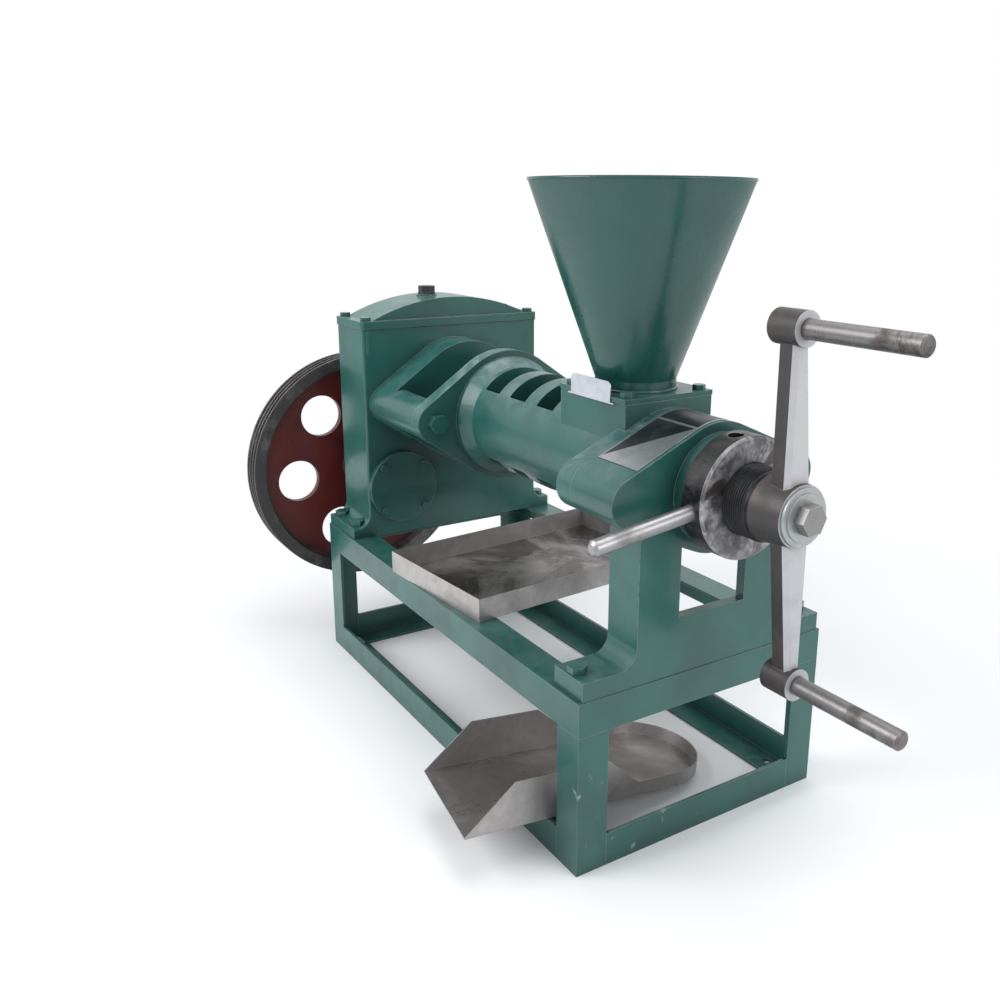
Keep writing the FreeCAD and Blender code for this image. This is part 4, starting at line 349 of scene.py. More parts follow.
class Effects:
    """Builds each shared node group once and places it in a material."""

    def __init__(self) -> None:
        """Start with no group built."""
        self.groups: dict[Effect, bpy.types.NodeTree] = {}
        self.builders: dict[Effect, Callable[[bpy.types.NodeTree], None]] = {
            Effect.EDGES: self.build_edges,
            Effect.GRIME_AND_SHADE: self.build_grime_and_shade,
            Effect.CAST: self.build_cast,
            Effect.SCRATCH: self.build_scratch,
            Effect.CHIPS: self.build_chips,
        }

    @staticmethod
    def sockets(tree: bpy.types.NodeTree, inputs: dict[str, float], outputs: dict[str, str]) -> None:
        """Declare a group's inputs with their defaults, and its outputs with their kinds."""
        for name, value in inputs.items():
            socket = tree.interface.new_socket(name=name, in_out="INPUT", socket_type="NodeSocketFloat")
            socket.default_value = value
        for name, kind in outputs.items():
            tree.interface.new_socket(name=name, in_out="OUTPUT", socket_type=kind)

    def use(self, net: Net, effect: Effect, **values: float) -> bpy.types.Node:
        """Place an effect in a material.

        Args:
            net: The material's net.
            effect: Which effect.
            values: Values of the group's inputs, by lower-case name.

        Returns:
            The group node, whose outputs are masks, heights or normals.
        """
        if effect not in self.groups:
            tree = bpy.data.node_groups.new(effect.value, "ShaderNodeTree")
            self.builders[effect](tree)
            self.groups[effect] = tree
        made = net.tree.nodes.new("ShaderNodeGroup")
        made.node_tree = self.groups[effect]
        for key, value in values.items():
            made.inputs[key.replace("_", " ").capitalize()].default_value = value
        return made

    def build_edges(self, tree: bpy.types.NodeTree) -> None:
        """Rounded normals over sharp edges, and a broken mask of where wear bares them."""
        self.sockets(tree, {"Radius": 0.002, "Wear": 0.5, "Grain": 90.0},
                     {"Mask": "NodeSocketFloat", "Normal": "NodeSocketVector"})
        net = Net(tree)
        given, out = net.node("GroupInput") if False else tree.nodes.new("NodeGroupInput"), tree.nodes.new("NodeGroupOutput")
        rounded = net.node("Bevel", samples=4)
        net.feed(rounded.inputs["Radius"], given.outputs["Radius"])
        flat = net.node("NewGeometry").outputs["Normal"]
        dot = net.node("VectorMath", operation="DOT_PRODUCT", in_0=rounded.outputs[0], in_1=flat).outputs["Value"]
        bend = net.spread(dot, 0.995, 0.80)
        broken = net.noise(net.place(), given.outputs["Grain"], 5.0, 0.65)
        needed = net.math("SUBTRACT", 1.02, given.outputs["Wear"])
        worn = net.math("MULTIPLY", bend, broken)
        mask = net.math("MULTIPLY", net.math("SUBTRACT", worn, net.math("MULTIPLY", needed, 0.5)), 9.0, clamp=True)
        net.feed(out.inputs["Mask"], mask)
        net.feed(out.inputs["Normal"], rounded.outputs[0])

    def build_grime_and_shade(self, tree: bpy.types.NodeTree) -> None:
        """Painted shade in occluded corners, taken from ambient occlusion, and dirt in loose patches."""
        self.sockets(tree, {"Reach": 0.03, "Patches": 6.0, "Amount": 0.5}, {"Painted_shade_mask": "NodeSocketFloat", "Patch": "NodeSocketFloat"})
        net = Net(tree)
        given, out = tree.nodes.new("NodeGroupInput"), tree.nodes.new("NodeGroupOutput")
        # Ambient occlusion darkens corners and gaps, so the first output is painted shade broken up by speckle; the
        # second is loose dirt.
        hidden = net.node("AmbientOcclusion", samples=4)
        net.feed(hidden.inputs["Distance"], given.outputs["Reach"])
        closed = net.math("SUBTRACT", 1.0, hidden.outputs["AO"])
        speckle = net.noise(net.place(), 45.0, 4.0, 0.6)
        painted_corner_shade = net.math("MULTIPLY", net.math("MULTIPLY", closed, speckle), net.math("MULTIPLY", given.outputs["Amount"], 2.6), clamp=True)
        patch = net.noise(net.place(), given.outputs["Patches"], 5.0, 0.6, 0.4)
        soft = net.math("MULTIPLY", net.spread(patch, 0.48, 0.68), given.outputs["Amount"], clamp=True)
        net.feed(out.inputs["Painted_shade_mask"], painted_corner_shade)
        net.feed(out.inputs["Patch"], soft)

    def build_cast(self, tree: bpy.types.NodeTree) -> None:
        """The low lumps and fine grain of a sand casting under paint."""
        self.sockets(tree, {"Lumps": 28.0, "Grain": 420.0, "Grain share": 0.3},
                     {"Height": "NodeSocketFloat", "Tone": "NodeSocketFloat"})
        net = Net(tree)
        given, out = tree.nodes.new("NodeGroupInput"), tree.nodes.new("NodeGroupOutput")
        lumps = net.noise(net.place(), given.outputs["Lumps"], 3.0, 0.5)
        grain = net.noise(net.place(), given.outputs["Grain"], 2.0, 0.6)
        height = net.math("ADD", lumps, net.math("MULTIPLY", grain, given.outputs["Grain share"]))
        net.feed(out.inputs["Height"], height)
        net.feed(out.inputs["Tone"], net.spread(lumps, 0.35, 0.7))

    def build_scratch(self, tree: bpy.types.NodeTree) -> None:
        """Fine tool marks and handling scratches."""
        self.sockets(tree, {"Across": 900.0, "Along": 30.0, "Amount": 0.5}, {"Height": "NodeSocketFloat", "Mask": "NodeSocketFloat"})
        net = Net(tree)
        given, out = tree.nodes.new("NodeGroupInput"), tree.nodes.new("NodeGroupOutput")
        parts = net.node("SeparateXYZ", in_0=net.place())
        stretched = net.node("CombineXYZ", in_0=net.math("MULTIPLY", parts.outputs[0], given.outputs["Across"]),
                             in_1=net.math("MULTIPLY", parts.outputs[1], given.outputs["Along"]),
                             in_2=net.math("MULTIPLY", parts.outputs[2], given.outputs["Along"]))
        lines = net.noise(stretched.outputs[0], 1.0, 3.0, 0.6)
        net.feed(out.inputs["Height"], lines)
        net.feed(out.inputs["Mask"], net.math("MULTIPLY", net.spread(lines, 0.55, 0.75), given.outputs["Amount"]))

    def build_chips(self, tree: bpy.types.NodeTree) -> None:
        """Small chips and rubs in a coat of paint."""
        self.sockets(tree, {"Scale": 30.0, "Amount": 0.2}, {"Mask": "NodeSocketFloat"})
        net = Net(tree)
        given, out = tree.nodes.new("NodeGroupInput"), tree.nodes.new("NodeGroupOutput")
        fine = net.noise(net.place(), given.outputs["Scale"], 8.0, 0.72, 0.6)
        broad = net.noise(net.place(), 3.1, 2.0, 0.5)
        both = net.math("MULTIPLY", fine, net.math("ADD", broad, 0.5))
        floor = net.math("SUBTRACT", 0.86, net.math("MULTIPLY", given.outputs["Amount"], 0.4))
        net.feed(out.inputs["Mask"], net.math("MULTIPLY", net.math("SUBTRACT", both, floor), 14.0, clamp=True))


EFFECTS = Effects()


@dataclass(frozen=True)
class Surface:
    """What a finish hands to its shader: the varying sockets of one material."""

    colour: bpy.types.NodeSocket
    roughness: bpy.types.NodeSocket
    normal: bpy.types.NodeSocket
    metallic: object = 0.0
    coat: float = 0.0
    specular: float = 0.5


def shader(name: str, build: Callable[[Net], Surface]) -> bpy.types.Material:
    """Make a material round one Principled shader.

    Args:
        name: Name of the material.
        build: Makes the surface's sockets in the material's net.

    Returns:
        The material.
    """
    material = bpy.data.materials.new(name)
    material.use_nodes = True
    tree = material.node_tree
    tree.nodes.clear()
    net = Net(tree)
    surface = build(net)
    principled = net.node("BsdfPrincipled")
    net.feed(principled.inputs["Base Color"], surface.colour)
    net.feed(principled.inputs["Roughness"], surface.roughness)
    net.feed(principled.inputs["Normal"], surface.normal)
    net.feed(principled.inputs["Metallic"], surface.metallic)
    principled.inputs["Coat Weight"].default_value = surface.coat
    principled.inputs["Coat Roughness"].default_value = 0.12
    principled.inputs["Specular IOR Level"].default_value = surface.specular
    net.tree.links.new(principled.outputs[0], net.node("OutputMaterial").inputs["Surface"])
    return material


def bumped(net: Net, height: object, distance: float, normal: object = None, strength: float = 1.0) -> bpy.types.NodeSocket:
    """Add a bump over a normal and return the new normal."""
    made = net.node("Bump")
    made.inputs["Strength"].default_value = strength
    made.inputs["Distance"].default_value = distance
    net.feed(made.inputs["Height"], height)
    if normal is not None:
        net.feed(made.inputs["Normal"], normal)
    return made.outputs[0]


# ---------------------------------------------------------------------------------------------------
# Finishes
# ---------------------------------------------------------------------------------------------------
@dataclass(frozen=True)
class Enamel:
    """Green machine enamel over a casting, rolled angle or sheet."""

    name: str
    colour: Colour = (0.018, 0.112, 0.094)
    dark: Colour = (0.007, 0.045, 0.040)
    # Colour of upward faces: partly dust, partly a painted sky reflection.
    dust_and_sheen: Colour = (0.105, 0.190, 0.185)
    bare: Colour = (0.30, 0.36, 0.35)
    # Colour of the painted shade in occluded corners.
    grime_and_shade: Colour = (0.006, 0.012, 0.012)
    roughness: float = 0.30
    casting: float = 0.0006
    edge_radius: float = 0.0022
    edge_wear: float = 0.35
    # Strength of the dust and painted sky reflection on upward faces.
    dust_and_sheen_amount: float = 0.5
    chips: float = 0.15
    # Strength of the dirt patches and of the painted shade in corners.
    grime_and_shade_amount: float = 0.5
    coat: float = 0.25

    def build(self, net: Net) -> Surface:
        """Make the enamel's sockets."""
        edges = EFFECTS.use(net, Effect.EDGES, radius=self.edge_radius, wear=self.edge_wear)
        grime_and_shade = EFFECTS.use(net, Effect.GRIME_AND_SHADE, amount=self.grime_and_shade_amount)
        cast = EFFECTS.use(net, Effect.CAST)
        chips = EFFECTS.use(net, Effect.CHIPS, amount=self.chips)
        broad = net.spread(net.noise(net.place(), 7.0, 3.0, 0.5, 0.5), 0.35, 0.68)
        tone = net.mix(net.math("MULTIPLY", broad, 0.38), self.colour, self.dark)
        # Upward faces are lightened in patches with dust and a painted sky reflection.
        up = net.spread(net.node("SeparateXYZ", in_0=net.node("NewGeometry").outputs["Normal"]).outputs[2], 0.25, 0.95)
        dust_and_sheen_breakup = net.spread(net.noise(net.place(), 22.0, 6.0, 0.68, 0.8), 0.38, 0.72)
        dust_and_sheen_mask = net.math("MULTIPLY", net.math("MULTIPLY", up, dust_and_sheen_breakup), self.dust_and_sheen_amount, clamp=True)
        dust_and_sheened = net.mix(dust_and_sheen_mask, tone, self.dust_and_sheen)
        smudged = net.mix(net.math("MULTIPLY", grime_and_shade.outputs["Patch"], 0.45), dust_and_sheened, self.dark)
        # Occluded corners are darkened here: painted shade.
        corner_shaded = net.mix(grime_and_shade.outputs["Painted_shade_mask"], smudged, self.grime_and_shade)
        worn = net.math("MAXIMUM", edges.outputs["Mask"], chips.outputs["Mask"], clamp=True)
        colour = net.mix(net.math("MULTIPLY", worn, 0.8), corner_shaded, self.bare)
        matt = net.math("ADD", net.math("MULTIPLY", dust_and_sheen_mask, 0.28), net.math("MULTIPLY", cast.outputs["Tone"], 0.10))
        roughness = net.math("ADD", self.roughness, net.math("ADD", matt, net.math("MULTIPLY", worn, 0.2)), clamp=True)
        height = net.math("SUBTRACT", cast.outputs["Height"], net.math("MULTIPLY", worn, 0.25))
        normal = bumped(net, height, self.casting, edges.outputs["Normal"])
        return Surface(colour, roughness, normal, coat=self.coat)


@dataclass(frozen=True)
class Steel:
    """Bare, oiled or blackened steel and iron with tool marks."""

    name: str
    colour: Colour = (0.28, 0.275, 0.27)
    # Colour of the stains and of the painted shade in occluded corners.
    stain_and_shade: Colour = (0.08, 0.07, 0.065)
    bright: Colour = (0.55, 0.55, 0.56)
    roughness: float = 0.34
    metallic: float = 0.9
    # Strength of the stains and of the painted shade in corners.
    stains_and_shade: float = 0.6
    edge_radius: float = 0.001
    edge_wear: float = 0.6
    marks: float = 0.00012
    patches: float = 14.0

    def build(self, net: Net) -> Surface:
        """Make the steel's sockets."""
        edges = EFFECTS.use(net, Effect.EDGES, radius=self.edge_radius, wear=self.edge_wear, grain=140.0)
        grime_and_shade = EFFECTS.use(net, Effect.GRIME_AND_SHADE, patches=self.patches, amount=self.stains_and_shade, reach=0.012)
        scratch = EFFECTS.use(net, Effect.SCRATCH)
        cloudy = net.mix(grime_and_shade.outputs["Patch"], self.colour, self.stain_and_shade)
        marked = net.mix(net.math("MULTIPLY", scratch.outputs["Mask"], 0.5), cloudy, self.bright)
        # Occluded corners are darkened here: painted shade.
        corner_shaded = net.mix(grime_and_shade.outputs["Painted_shade_mask"], marked, self.stain_and_shade)
        colour = net.mix(net.math("MULTIPLY", edges.outputs["Mask"], 0.7), corner_shaded, self.bright)
        uneven = net.noise(net.place(), 60.0, 4.0, 0.6)
        roughness = net.math("ADD", self.roughness - 0.08, net.math("MULTIPLY", net.math("ADD", uneven, grime_and_shade.outputs["Patch"]), 0.2), clamp=True)
        metallic = net.math("SUBTRACT", self.metallic, net.math("MULTIPLY", grime_and_shade.outputs["Painted_shade_mask"], 0.5), clamp=True)
        normal = bumped(net, scratch.outputs["Height"], self.marks, edges.outputs["Normal"])
        return Surface(colour, roughness, normal, metallic=metallic)


@dataclass(frozen=True)
class Galvanised:
    """Zinc-coated sheet, dulled and stained by oil."""

    name: str
    colour: Colour = (0.50, 0.47, 0.465)
    dull: Colour = (0.30, 0.275, 0.27)
    oil: Colour = (0.045, 0.036, 0.032)
    rust: Colour = (0.22, 0.075, 0.025)
    oil_level: float = 0.5
    oil_height: float = 0.0
    clean: bool = False

    def build(self, net: Net) -> Surface:
        """Make the sheet's sockets."""
        edges = EFFECTS.use(net, Effect.EDGES, radius=0.0008, wear=0.45)
        spangle = net.node("TexVoronoi", feature="F1")
        net.feed(spangle.inputs["Vector"], net.place())
        net.feed(spangle.inputs["Scale"], 75.0)
        flecks = net.node("SeparateColor", in_0=spangle.outputs["Color"]).outputs[0]
        base = net.mix(net.math("MULTIPLY", flecks, 0.35), self.colour, self.dull)
        cloud = net.spread(net.noise(net.place(), 9.0, 6.0, 0.62, 1.0), 0.40, 0.66)
        base = net.mix(net.math("MULTIPLY", cloud, 0.1 if self.clean else 0.55), base, self.dull)
        up = net.spread(net.node("SeparateXYZ", in_0=net.node("NewGeometry").outputs["Normal"]).outputs[2], 0.5, 0.9)
        pool = net.spread(net.noise(net.place(), 5.5, 5.0, 0.6, 0.8), 0.34, 0.60)
        film = net.math("MULTIPLY", net.math("MULTIPLY", up, net.math("ADD", pool, 0.35)), self.oil_level, clamp=True)
        oiled = net.mix(film, base, self.oil)
        specks = net.spread(net.noise(net.place(), 38.0, 6.0, 0.7, 1.2), 0.66, 0.76)
        rusted = net.mix(net.math("MULTIPLY", specks, 0.0 if self.clean else 0.35), oiled, self.rust)
        colour = net.mix(net.math("MULTIPLY", edges.outputs["Mask"], 0.5), rusted, self.colour)
        roughness = net.math("ADD", net.math("MULTIPLY", cloud, 0.16), net.math("SUBTRACT", 0.40, net.math("MULTIPLY", film, 0.20)), clamp=True)
        waves = net.noise(net.place(), 12.0, 2.0, 0.5)
        normal = bumped(net, waves, 0.0012, edges.outputs["Normal"])
        metallic = net.math("SUBTRACT", 0.82, net.math("MULTIPLY", film, 0.55), clamp=True)
        return Surface(colour, roughness, normal, metallic=metallic)


@dataclass(frozen=True)
class PulleyPaint:
    """Dark red paint on the web and hub, with a bare dark iron rim."""

    name: str
    centre: tuple[float, float]
    rim_radius: float
    red: Colour = (0.105, 0.010, 0.010)
    deep: Colour = (0.040, 0.005, 0.006)
    iron: Colour = (0.075, 0.068, 0.068)
    polished: Colour = (0.26, 0.25, 0.25)

    def build(self, net: Net) -> Surface:
        """Make the pulley's sockets."""
        edges = EFFECTS.use(net, Effect.EDGES, radius=0.0018, wear=0.55)
        grime_and_shade = EFFECTS.use(net, Effect.GRIME_AND_SHADE, amount=0.7, patches=11.0)
        chips = EFFECTS.use(net, Effect.CHIPS, amount=0.25, scale=26.0)
        parts = net.node("SeparateXYZ", in_0=net.place())
        y = net.math("SUBTRACT", parts.outputs[1], self.centre[0])
        z = net.math("SUBTRACT", parts.outputs[2], self.centre[1])
        reach = net.math("SQRT", net.math("ADD", net.math("MULTIPLY", y, y), net.math("MULTIPLY", z, z)))
        wobble = net.math("MULTIPLY", net.math("SUBTRACT", net.noise(net.place(), 40.0), 0.5), 0.006)
        rim = net.spread(net.math("ADD", reach, wobble), self.rim_radius - 0.001, self.rim_radius + 0.001)
        painted = net.mix(grime_and_shade.outputs["Patch"], self.red, self.deep)
        metal = net.mix(grime_and_shade.outputs["Patch"], self.iron, self.polished)
        base = net.mix(rim, painted, metal)
        # Occluded corners are darkened here: painted shade.
        corner_shaded = net.mix(net.math("MULTIPLY", grime_and_shade.outputs["Painted_shade_mask"], 0.8), base, (0.01, 0.007, 0.007))
        worn = net.math("MAXIMUM", edges.outputs["Mask"], chips.outputs["Mask"], clamp=True)
        colour = net.mix(net.math("MULTIPLY", worn, 0.7), corner_shaded, self.polished)
        roughness = net.math("ADD", 0.36, net.math("MULTIPLY", net.noise(net.place(), 30.0), 0.18), clamp=True)
        metallic = net.math("MULTIPLY", rim, 0.7)
        normal = bumped(net, net.noise(net.place(), 120.0, 3.0), 0.0004, edges.outputs["Normal"])
        return Surface(colour, roughness, normal, metallic=metallic, coat=0.15)


@dataclass(frozen=True)
class SilveredCasting:
    """Iron casting whose faces towards the operator are painted silver and whose sides stay dark."""

    name: str
    silver: Colour = (0.52, 0.52, 0.54)
    iron: Colour = (0.052, 0.047, 0.047)
    brown: Colour = (0.10, 0.072, 0.062)

    def build(self, net: Net) -> Surface:
        """Make the casting's sockets."""
        edges = EFFECTS.use(net, Effect.EDGES, radius=0.0016, wear=0.4)
        cast = EFFECTS.use(net, Effect.CAST, grain_share=0.5)
        grime_and_shade = EFFECTS.use(net, Effect.GRIME_AND_SHADE, amount=0.5, patches=16.0)
        facing = net.node("SeparateXYZ", in_0=net.node("NewGeometry").outputs["Normal"]).outputs[0]
        wobble = net.math("MULTIPLY", net.math("SUBTRACT", net.noise(net.place(), 70.0), 0.5), 0.3)
        front = net.spread(net.math("ADD", facing, wobble), 0.42, 0.62)
        side = net.mix(grime_and_shade.outputs["Patch"], self.iron, self.brown)
        face = net.mix(net.math("MULTIPLY", net.spread(net.noise(net.place(), 24.0, 6.0, 0.7), 0.45, 0.75), 0.35), self.silver,
                       (0.30, 0.29, 0.29))
        base = net.mix(front, side, face)
        # Occluded corners are darkened here: painted shade.
        corner_shaded = net.mix(net.math("MULTIPLY", grime_and_shade.outputs["Painted_shade_mask"], 0.7), base, (0.02, 0.017, 0.016))
        colour = net.mix(net.math("MULTIPLY", edges.outputs["Mask"], 0.5), corner_shaded, (0.45, 0.44, 0.44))
        roughness = net.math("ADD", 0.42, net.math("MULTIPLY", cast.outputs["Tone"], 0.15), clamp=True)
        metallic = net.math("ADD", 0.25, net.math("MULTIPLY", front, 0.25))
        normal = bumped(net, cast.outputs["Height"], 0.0006, edges.outputs["Normal"])
        return Surface(colour, roughness, normal, metallic=metallic)


@dataclass(frozen=True)
class WornRing:
    """Turned iron nut with blotches of old pale paint on its face and a dark oily rim."""

    name: str
    iron: Colour = (0.115, 0.105, 0.105)
    pale: Colour = (0.46, 0.45, 0.47)
    dark: Colour = (0.025, 0.027, 0.028)

    def build(self, net: Net) -> Surface:
        """Make the ring's sockets."""
        edges = EFFECTS.use(net, Effect.EDGES, radius=0.002, wear=0.75)
        grime_and_shade = EFFECTS.use(net, Effect.GRIME_AND_SHADE, amount=0.5, patches=20.0)
        scratch = EFFECTS.use(net, Effect.SCRATCH, across=30.0, along=240.0)
        facing = net.node("SeparateXYZ", in_0=net.node("NewGeometry").outputs["Normal"]).outputs[0]
        front = net.spread(facing, 0.3, 0.8)
        blotch = net.spread(net.noise(net.place(), 15.0, 6.0, 0.62, 1.6), 0.40, 0.56)
        streak = net.spread(net.noise(net.stretched((18.0, 60.0, 60.0)), 1.0, 4.0, 0.6), 0.40, 0.64)
        bright = net.math("MULTIPLY", blotch, net.math("ADD", 0.35, net.math("MULTIPLY", streak, 0.65)))
        face = net.mix(bright, self.iron, self.pale)
        rim = net.mix(net.math("MULTIPLY", bright, 0.45), self.dark, self.iron)
        base = net.mix(front, rim, face)
        # Occluded corners are darkened here: painted shade.
        corner_shaded = net.mix(grime_and_shade.outputs["Painted_shade_mask"], base, (0.015, 0.014, 0.014))
        colour = net.mix(net.math("MULTIPLY", edges.outputs["Mask"], 0.8), corner_shaded, (0.5, 0.5, 0.51))
        roughness = net.math("ADD", 0.30, net.math("MULTIPLY", blotch, 0.18), clamp=True)
        normal = bumped(net, scratch.outputs["Height"], 0.0002, edges.outputs["Normal"])
        return Surface(colour, roughness, normal, metallic=net.math("SUBTRACT", 0.75, net.math("MULTIPLY", bright, 0.3)))


@dataclass(frozen=True)
class Plain:
    """A finish with only slight unevenness, for rubber, black fittings and the bare plate."""

    name: str
    colour: Colour
    second: Colour
    roughness: float = 0.45
    metallic: float = 0.0
    grain: float = 180.0
    depth: float = 0.0001

    def build(self, net: Net) -> Surface:
        """Make the finish's sockets."""
        edges = EFFECTS.use(net, Effect.EDGES, radius=0.0008, wear=0.3)
        cloud = net.spread(net.noise(net.place(), 35.0, 5.0, 0.6, 0.5), 0.4, 0.7)
        colour = net.mix(cloud, self.colour, self.second)
        colour = net.mix(net.math("MULTIPLY", edges.outputs["Mask"], 0.4), colour, (0.3, 0.3, 0.3))
        roughness = net.math("ADD", self.roughness, net.math("MULTIPLY", cloud, 0.12), clamp=True)
        normal = bumped(net, net.noise(net.place(), self.grain, 3.0), self.depth, edges.outputs["Normal"])
        return Surface(colour, roughness, normal, metallic=self.metallic)


class Palette:
    """Every finish of the press, each made into a material once and kept by name."""

    def __init__(self, pulley_centre: tuple[float, float], rim_radius: float) -> None:
        """Collect the finishes."""
        finishes = (
            Enamel("cast_enamel"),
            # The barrel's bluish grey on upward faces is dust and a painted sky reflection.
            Enamel("barrel_enamel", dust_and_sheen_amount=0.75, casting=0.0009, dust_and_sheen=(0.20, 0.29, 0.30), roughness=0.34),
            Enamel("rail_enamel", casting=0.00025, edge_radius=0.0012, edge_wear=0.45, dust_and_sheen_amount=0.35, chips=0.3),
            Enamel("sheet_enamel", casting=0.0003, edge_radius=0.0006, dust_and_sheen_amount=0.2, chips=0.05, roughness=0.24,
                   grime_and_shade_amount=0.25, colour=(0.010, 0.082, 0.066)),
            Enamel("bolt_enamel", casting=0.0002, edge_radius=0.0008, edge_wear=0.62, chips=0.35),
            Steel("machined_steel"),
            Steel("handle_steel", colour=(0.20, 0.19, 0.19), stains_and_shade=0.9, patches=24.0, roughness=0.36),
            Steel("bright_bar", colour=(0.34, 0.34, 0.345), stains_and_shade=0.5, patches=18.0),
            Steel("black_screw", colour=(0.018, 0.019, 0.021), stain_and_shade=(0.008, 0.008, 0.009), bright=(0.10, 0.10, 0.11),
                  roughness=0.30, metallic=0.55, edge_wear=0.35),
            Steel("gear_iron", colour=(0.22, 0.22, 0.225), roughness=0.42, stains_and_shade=0.7),
            Steel("washer_zinc", colour=(0.42, 0.44, 0.44), stains_and_shade=0.3, roughness=0.36),
            Galvanised("tray_sheet", oil_level=0.9),
            Galvanised("chute_sheet", oil_level=0.55),
            Galvanised("gate_sheet", clean=True, oil_level=0.0, colour=(0.66, 0.69, 0.74), dull=(0.48, 0.50, 0.54)),
            PulleyPaint("pulley_paint", pulley_centre, rim_radius),
            SilveredCasting("silvered_casting"),
            WornRing("worn_ring"),
            Plain("black_fitting", (0.012, 0.014, 0.015), (0.03, 0.032, 0.034), 0.38),
            Plain("seal_rubber", (0.010, 0.010, 0.010), (0.025, 0.024, 0.022), 0.62),
            Plain("plate_black", (0.010, 0.012, 0.015), (0.028, 0.032, 0.038), 0.30, metallic=0.3),
            Plain("plate_silver", (0.42, 0.43, 0.45), (0.28, 0.29, 0.30), 0.34, metallic=0.85),
        )
        self.made = {finish.name: shader(finish.name, finish.build) for finish in finishes}

    def dress(self, piece: bpy.types.Object, finish: str) -> None:
        """Give one finish to a whole piece.

        Args:
            piece: The piece, or a node of the frame.
            finish: Name of the finish.
        """
        material = self.made[finish]
        if not piece.material_slots:
            piece.data.materials.append(material)
        for place in piece.material_slots:
            place.material = material


# ---------------------------------------------------------------------------------------------------
# The press
# ---------------------------------------------------------------------------------------------------
def middle(node: str) -> Vector:
    """Give the middle of a node's box."""
    low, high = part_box(node)
    return (Vector(low) + Vector(high)) / 2


def report(piece: bpy.types.Object) -> None:
    """Log one finished piece."""
    LOG.info("made %s with %d faces", piece.name, len(piece.data.polygons))


class SubAssembly:
    """A group of pieces that are built and dressed together."""

    nodes: dict[str, str] = {}

    def __init__(self, palette: Palette) -> None:
        """Keep the palette."""
        self.palette = palette

    def dress_nodes(self) -> None:
        """Give each of the group's nodes its finish."""
        for node, finish in self.nodes.items():
            self.palette.dress(frame["nodes"][node], finish)
            LOG.info("dressed %s with %s", node, finish)

    def finish_piece(self, piece: bpy.types.Object, body: str, finish: str, slot: str) -> None:
        """Dress a new piece and hang it on its body.

        Args:
            piece: The piece.
            body: Body that it rides on.
            finish: Name of its finish.
            slot: Not used.
        """
        self.palette.dress(piece, finish)
        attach(piece, body)
        report(piece)

    def build(self) -> None:
        """Build the group's own pieces."""


@dataclass
class FrameWelds:
    """Sizes of the weld beads on the base frame."""

    leg_flange: float = 0.050
    bead_radius: float = 0.0022


class BaseFrame(SubAssembly):
    """Angle-iron frame with its welds."""

    nodes = {
        "frame_legs": "rail_enamel",
        "frame_top_side_rails": "rail_enamel",
        "frame_top_end_rails": "rail_enamel",
        "frame_bottom_side_rails": "rail_enamel",
        "frame_bottom_end_rails": "rail_enamel",
    }
    sizes = FrameWelds()

    def build(self) -> None:
        """Lay beads where the legs meet the rails, and on the mitres."""
        low, high = (Vector(corner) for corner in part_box("frame_legs"))
        top = high.z
        flange = self.sizes.leg_flange
        radius = self.sizes.bead_radius
        beads = []
        rail_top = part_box("frame_top_side_rails")[1][2]
        rail_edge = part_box("frame_bottom_side_rails")[1][2]
        inset = radius * 1.15
        for x_side in (-1, 1):
            for y_side in (-1, 1):
                x = (high.x if x_side > 0 else low.x) - x_side * inset
                y = (high.y if y_side > 0 else low.y) - y_side * inset
                inner_x = x - x_side * flange
                inner_y = y - y_side * flange
                runs = (
                    ((x, y, top), (inner_x, y, top)),
                    ((x, y, top), (x, inner_y, top)),
                    ((inner_x, y, inset), (inner_x, y, rail_edge)),
                    ((x, inner_y, inset), (x, inner_y, rail_edge)),
                    ((x, y, rail_top - inset), (inner_x, inner_y, rail_top - inset)),
                )
                for start, end in runs:
                    beads.append(bead("bead", straight_points(start, end), radius))
        welds = join(beads, "frame_welds")
        self.finish_piece(welds, "press_frame", "rail_enamel", "green_enamel")


class Gearbox(SubAssembly):
    """Gearbox casting, cover, caps, bearings and gears."""

    nodes = {
        "gearbox_housing": "cast_enamel", "gearbox_cover": "cast_enamel", "cover_gasket": "seal_rubber",
        "cover_bolts": "bolt_enamel", "breather_plug": "black_fitting", "input_cap_front": "cast_enamel",
        "input_cap_rear": "cast_enamel", "main_cap_rear": "cast_enamel", "cap_screws": "bolt_enamel",
        "main_bearing_front": "machined_steel", "main_bearing_rear": "machined_steel",
        "input_bearings": "machined_steel", "shaft_seal": "seal_rubber", "gearbox_foot_bolts": "bolt_enamel",
        "gearbox_foot_nuts": "bolt_enamel", "hollow_shaft": "machined_steel", "main_gear": "gear_iron",
        "gear_key": "machined_steel", "input_shaft": "machined_steel",
    }


class Pulley(SubAssembly):
    """Belt pulley and its fixing."""

    nodes = {
        "drive_pulley": "pulley_paint", "pulley_key": "machined_steel", "pulley_washer": "washer_zinc",
        "pulley_bolt": "machined_steel",
    }


class Barrel(SubAssembly):
    """Press barrel, bars, choke ring and the screw that runs in them."""

    nodes = {
        "press_barrel": "barrel_enamel", "press_bars": "gear_iron", "choke_ring": "gear_iron",
        "rear_flange_bolts": "bolt_enamel", "front_flange_bolts": "bolt_enamel", "screw_shaft": "machined_steel",
        "screw_worm": "machined_steel", "cake_cone": "machined_steel", "feather_key": "machined_steel",
        "thrust_bearing": "machined_steel",
    }


@dataclass
class HopperSizes:
    """Sizes of the hopper's rim and welds."""

    rim_bead: float = 0.0022
    weld_bead: float = 0.0028
    seam_width: float = 0.0016


